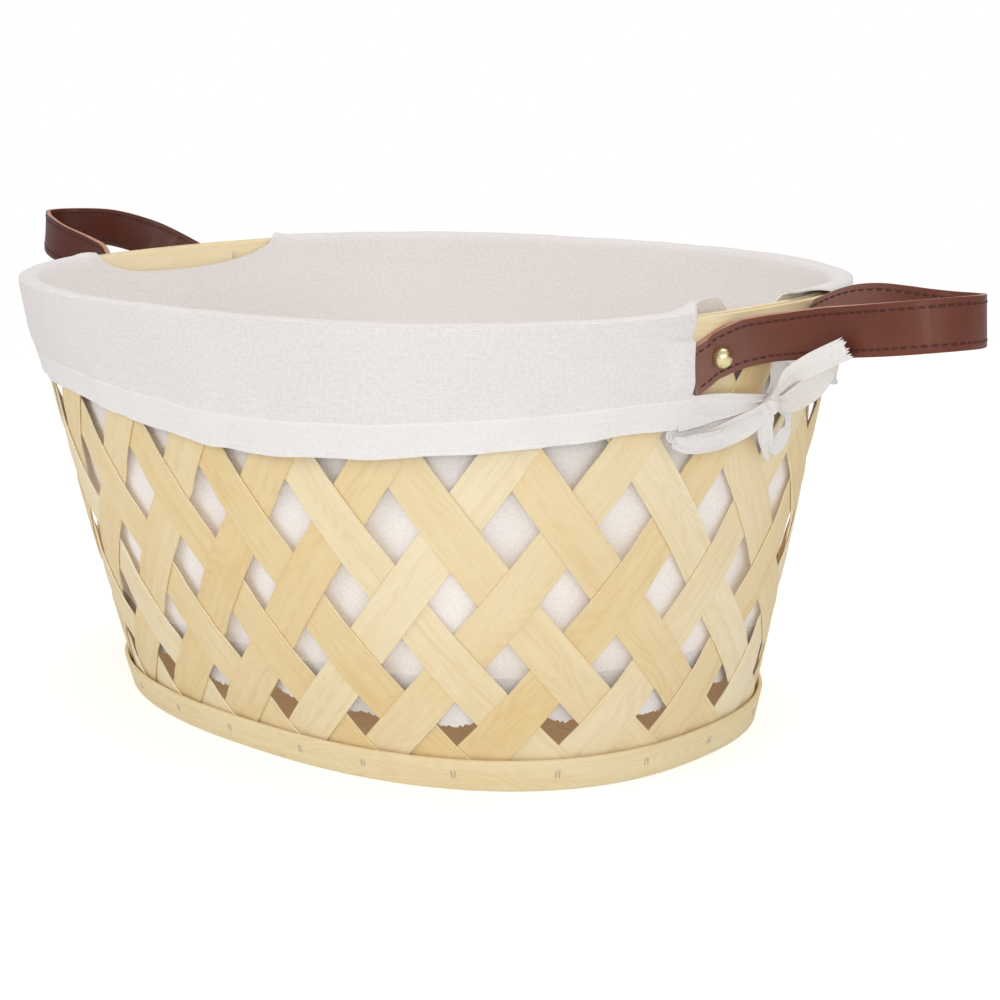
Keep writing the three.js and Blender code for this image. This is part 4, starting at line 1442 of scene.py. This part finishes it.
# %% Lines of a bow
OUT, FRONT, UP = (1, 0, 0.1), (0.8, -0.6, 0), (0.7, -0.2, 0.7)
BOW = {
    "tie_front": [
        ((240.4, -64, 206.0), 17, (0.95, -0.3, 0.1)), ((243.0, -52, 206.4), 16, (0.96, -0.25, 0.1)),
        ((245.2, -40, 206.9), 14, (0.97, -0.2, 0.1)), ((246.8, -26, 206.6), 11.5, OUT),
        ((248.2, -14, 206.2), 8.5, OUT), ((250.2, -3, 206.0), 5, OUT),
    ],
    "tie_rear": [
        ((251.5, 0, 208), 5, OUT), ((252.2, 4, 214), 9.5, (1, -0.1, 0)),
        ((252.6, 5.5, 224), 12.5, (1, -0.1, 0)), ((252.0, 13, 229), 11, OUT),
        ((249.5, 32, 222), 10, OUT), ((244.6, 58, 213), 12, (0.96, 0.3, 0.1)),
        ((235.5, 80, 208.5), 14, (0.9, 0.4, 0.1)), ((226.8, 96.5, 206.5), 15, (0.88, 0.5, 0.1)),
        ((219.5, 105.5, 206), 16, (0.85, 0.53, 0.1)),
    ],
    "loop_left_far": [
        ((250.5, -4, 203), 5, UP), ((247.5, -18, 201), 9, UP), ((244.6, -38, 199), 12, UP),
        ((241.0, -54, 197.5), 11, UP), ((239.0, -64, 195.5), 9, (1, -0.6, 0.2)),
        ((240.5, -66.5, 192.5), 6, (1, -0.8, 0)),
    ],
    "loop_left_near": [
        ((240.5, -66.5, 192.5), 6, (1, -0.8, 0)), ((243.4, -57, 189.6), 8.5, (1, -0.3, -0.2)),
        ((246.0, -43, 190.6), 11.5, OUT), ((248.4, -28, 193.2), 13, OUT),
        ((250.6, -14, 197.0), 12, OUT), ((252.4, -3, 203), 6, OUT),
    ],
    "loop_down_left": [
        ((252.8, -2, 202.5), 6, OUT), ((251.4, -3.5, 195), 9.5, (1, -0.4, 0)),
        ((248.6, 0.5, 186), 9.5, (1, -0.4, 0)), ((246.0, 6.5, 177.5), 9, OUT),
        ((244.2, 10.5, 175.0), 8, OUT),
    ],
    "loop_down_right": [
        ((252.0, 5, 204), 7, OUT), ((250.6, 15.5, 199), 11, (1, 0.3, 0)),
        ((248.0, 20, 190), 12, (1, 0.3, 0)), ((245.6, 16.5, 181), 10, OUT),
        ((243.8, 12, 175.4), 8, OUT),
    ],
}
KNOT_STOP = ((253.2, 1.5, 204.5), 0, OUT)

# %% Lines of the tails
TO_LEFT_REAR_CUFF = [
    ((219.5, -105.5, 204.5), 17, (0.85, -0.53, 0.1)), ((226.8, -96.5, 204.8), 17, (0.88, -0.5, 0.1)),
    ((234.4, -81, 205.2), 17, (0.92, -0.4, 0.1)),
]
LONG_TAIL = [
    ((253.5, 0.5, 205.5), 7, FRONT), ((262.5, -6.5, 210.5), 12.5, FRONT),
    ((274.0, -17, 218.5), 12.5, FRONT), ((287.0, -28.5, 226.5), 11, (0.6, -0.8, 0)),
    ((301.0, -33.0, 234.0), 11, (0.4, -0.9, 0)), ((321.0, -35.5, 243.6), 11, (0.3, -0.95, 0)),
]
SHORT_TAIL = [
    ((253.5, 3, 204), 8, FRONT), ((264.0, -1, 206.0), 13.5, FRONT),
    ((275.0, -6, 211.5), 15.5, FRONT), ((285.5, -11, 218.5), 15, FRONT),
    ((296.0, -17, 228.5), 13, FRONT), ((303.5, -23, 236.0), 10.5, FRONT),
]


def at_side(stops, side):
    """The stops as they are at the right-hand end, or turned half round to the left-hand one."""
    if side == "right":
        return stops
    turned = (-1, -1, 1)
    return [
        (tuple(np.multiply(place, turned)), width, tuple(np.multiply(facing, turned)))
        for place, width, facing in stops
    ]


# %% [markdown]
# ## Knot
# The knot is wrapped so tightly that only a creased lump shows. A ball is squeezed into that
# lump, and waves over its surface make the creases.


# %% Knot
KNOT_SIZE = (3.4, 6.2, 6.0)
KNOT_CREASES = (0.12, 0.07)


def knot(name, middle, seed):
    piece = primitive(bpy.ops.mesh.primitive_uv_sphere_add, segments=48, ring_count=28, radius=1)
    piece.name = piece.data.name = name
    phases = np.random.default_rng(seed).uniform(0, 6, 3)
    laid = piece.data.uv_layers[0]
    laid.name = "laid"
    for item in laid.data:
        item.uv = (item.uv[0] * 0.04, item.uv[1] * 0.02)
    for vertex in piece.data.vertices:
        x, y, z = vertex.co
        crease = 1 + KNOT_CREASES[0] * math.sin(6 * (y + 0.5 * z) + phases[0])
        crease += KNOT_CREASES[1] * math.sin(11 * z - 3 * y + phases[1])
        sized = Vector((x * KNOT_SIZE[0], y * KNOT_SIZE[1], z * KNOT_SIZE[2]))
        vertex.co = sized * crease * MM + Vector(middle) * MM
    smooth(piece, 60)
    ribbon_cloth.put_on(piece)
    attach(piece, "basket")


# %% [markdown]
# ## Bows
# The tails lie against the strap, but only have their place put into the mesh and do not bend
# with it. The rest of the bow stays on the basket. The left-hand bow is hidden in the
# photograph, and is the right-hand one turned half round, with a longer ribbon to the cuff that
# is further away there.


# %% Bows
def bow(side):
    pieces = []
    for seed, (name, stops) in enumerate(BOW.items()):
        if name == "tie_front" and side == "left":
            stops = TO_LEFT_REAR_CUFF + stops
        pieces.append(ribbon(f"ribbon_{side}_{name}", at_side(stops, side), cup=0.22, seed=seed + 2))
        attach(pieces[-1], "basket")
    for seed, (name, stops) in enumerate((("tail_long", LONG_TAIL), ("tail_short", SHORT_TAIL))):
        tail = ribbon(
            f"ribbon_{side}_{name}", at_side(stops, side), cup=0.12, seed=seed + 11, frayed=True
        )
        bend_with_handle(tail)
    knot(f"ribbon_{side}_knot", at_side([KNOT_STOP], side)[0][0], 4)
    return pieces[0]


right_tie = bow("right")
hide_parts("tie_bow_right")
bow("left")
print("bows at both ends, the left-hand one guessed from the right")

# %% [markdown]
# ## Camera
# The camera stands where the photograph was taken, with the same angle of view. Its place,
# turn and lens were fitted to the rim, the weave and the straps together.

# %% Camera
CAMERA_PLACE = (0.868266, -0.865623, 0.39544)
CAMERA_YAW, CAMERA_PITCH, CAMERA_ROLL = 0.7516228, 0.2243541, -0.0165379
CAMERA_LENS = 74.352
SENSOR_WIDTH = 36
camera_data = bpy.data.cameras.new("camera")
camera_data.lens = CAMERA_LENS
camera_data.sensor_width = SENSOR_WIDTH
camera = bpy.data.objects.new("camera", camera_data)
bpy.context.scene.collection.objects.link(camera)
forward = Vector((
    -math.sin(CAMERA_YAW) * math.cos(CAMERA_PITCH),
    math.cos(CAMERA_YAW) * math.cos(CAMERA_PITCH),
    -math.sin(CAMERA_PITCH),
))
level_right = Vector((math.cos(CAMERA_YAW), math.sin(CAMERA_YAW), 0))
level_up = level_right.cross(forward)
right = math.cos(CAMERA_ROLL) * level_right + math.sin(CAMERA_ROLL) * level_up
up = -math.sin(CAMERA_ROLL) * level_right + math.cos(CAMERA_ROLL) * level_up
turned = Matrix((right, up, -forward)).transposed().to_4x4()
camera.matrix_world = Matrix.Translation(CAMERA_PLACE) @ turned
bpy.context.scene.camera = camera
print("camera at", CAMERA_PLACE, "lens", CAMERA_LENS, "mm")

# %% [markdown]
# ## Floor
# A white disc keeps the basket's soft shadow. Only the camera sees its faint glow, which makes
# it as white as the surroundings and adds no light to the basket.

# %% Floor
FLOOR_RADIUS = 1.5
FLOOR_DROP = 0.3 * MM
FLOOR_GLOW = 0.4

floor = primitive(
    bpy.ops.mesh.primitive_circle_add,
    vertices=96,
    radius=FLOOR_RADIUS,
    fill_type="NGON",
    location=(0, 0, -FLOOR_DROP),
)
floor.name = "floor"
floor_finish = Finish("floor_white", {"Base Color": (0.9, 0.9, 0.9, 1), "Roughness": 0.9})
by_camera = floor_finish.node("ShaderNodeLightPath", output="Is Camera Ray")
glow = floor_finish.node(
    "ShaderNodeEmission", values={"Color": (1, 1, 1, 1), "Strength": by_camera * FLOOR_GLOW}
)
lit = floor_finish.node(
    "ShaderNodeAddShader", values={0: Wire(floor_finish, floor_finish.surface.outputs[0]), 1: glow}
)
floor_finish.tree.links.new(
    lit.socket, floor_finish.tree.nodes["Material Output"].inputs["Surface"]
)
floor_finish.put_on(floor)
print("floor", FLOOR_RADIUS, "m in radius")

# %% [markdown]
# ## Light
# A pale surrounding lights everything evenly, and four soft lamps give the forms their shade:
# a key lamp on the left, a weaker one on the right, one beside the camera and one above. Seen
# by the camera, the surrounding is plain white.

# %% Surroundings
SKY = 0.57
world = bpy.data.worlds.new("studio")
bpy.context.scene.world = world
world.use_nodes = True
tree = world.node_tree
background = tree.nodes["Background"]
background.inputs["Color"].default_value = (1, 1, 1, 1)
path = tree.nodes.new("ShaderNodeLightPath")
direct = tree.nodes.new("ShaderNodeMath")
direct.operation = "MAXIMUM"
tree.links.new(path.outputs["Is Camera Ray"], direct.inputs[0])
tree.links.new(path.outputs["Is Transmission Ray"], direct.inputs[1])
strength = tree.nodes.new("ShaderNodeMapRange")
strength.inputs["To Min"].default_value = SKY
strength.inputs["To Max"].default_value = 1.0
tree.links.new(direct.outputs[0], strength.inputs["Value"])
tree.links.new(strength.outputs[0], background.inputs["Strength"])


# %% Lamps
LAMPS = {
    "key": ((-0.7, -1.9, 1.2), 0.9, 8),
    "fill": ((1.9, -0.8, 0.9), 1.2, 4.5),
    "beside_camera": ((1.15, -1.15, 0.62), 0.5, 4),
    "top": ((0.1, 0.5, 2.2), 1.6, 13),
}
LIT_PLACE = Vector((0, 0, 0.12))


def soft_lamp(name, place, size, power):
    data = bpy.data.lights.new(name, "AREA")
    data.shape = "DISK"
    data.size = size
    data.energy = power
    lamp = bpy.data.objects.new(name, data)
    bpy.context.scene.collection.objects.link(lamp)
    lamp.location = place
    aim = LIT_PLACE - Vector(place)
    lamp.rotation_euler = aim.to_track_quat("-Z", "Y").to_euler()


for name, (place, size, power) in LAMPS.items():
    soft_lamp(name, place, size, power)
print("lamps", *LAMPS)
bpy.context.scene.view_settings.view_transform = "Standard"
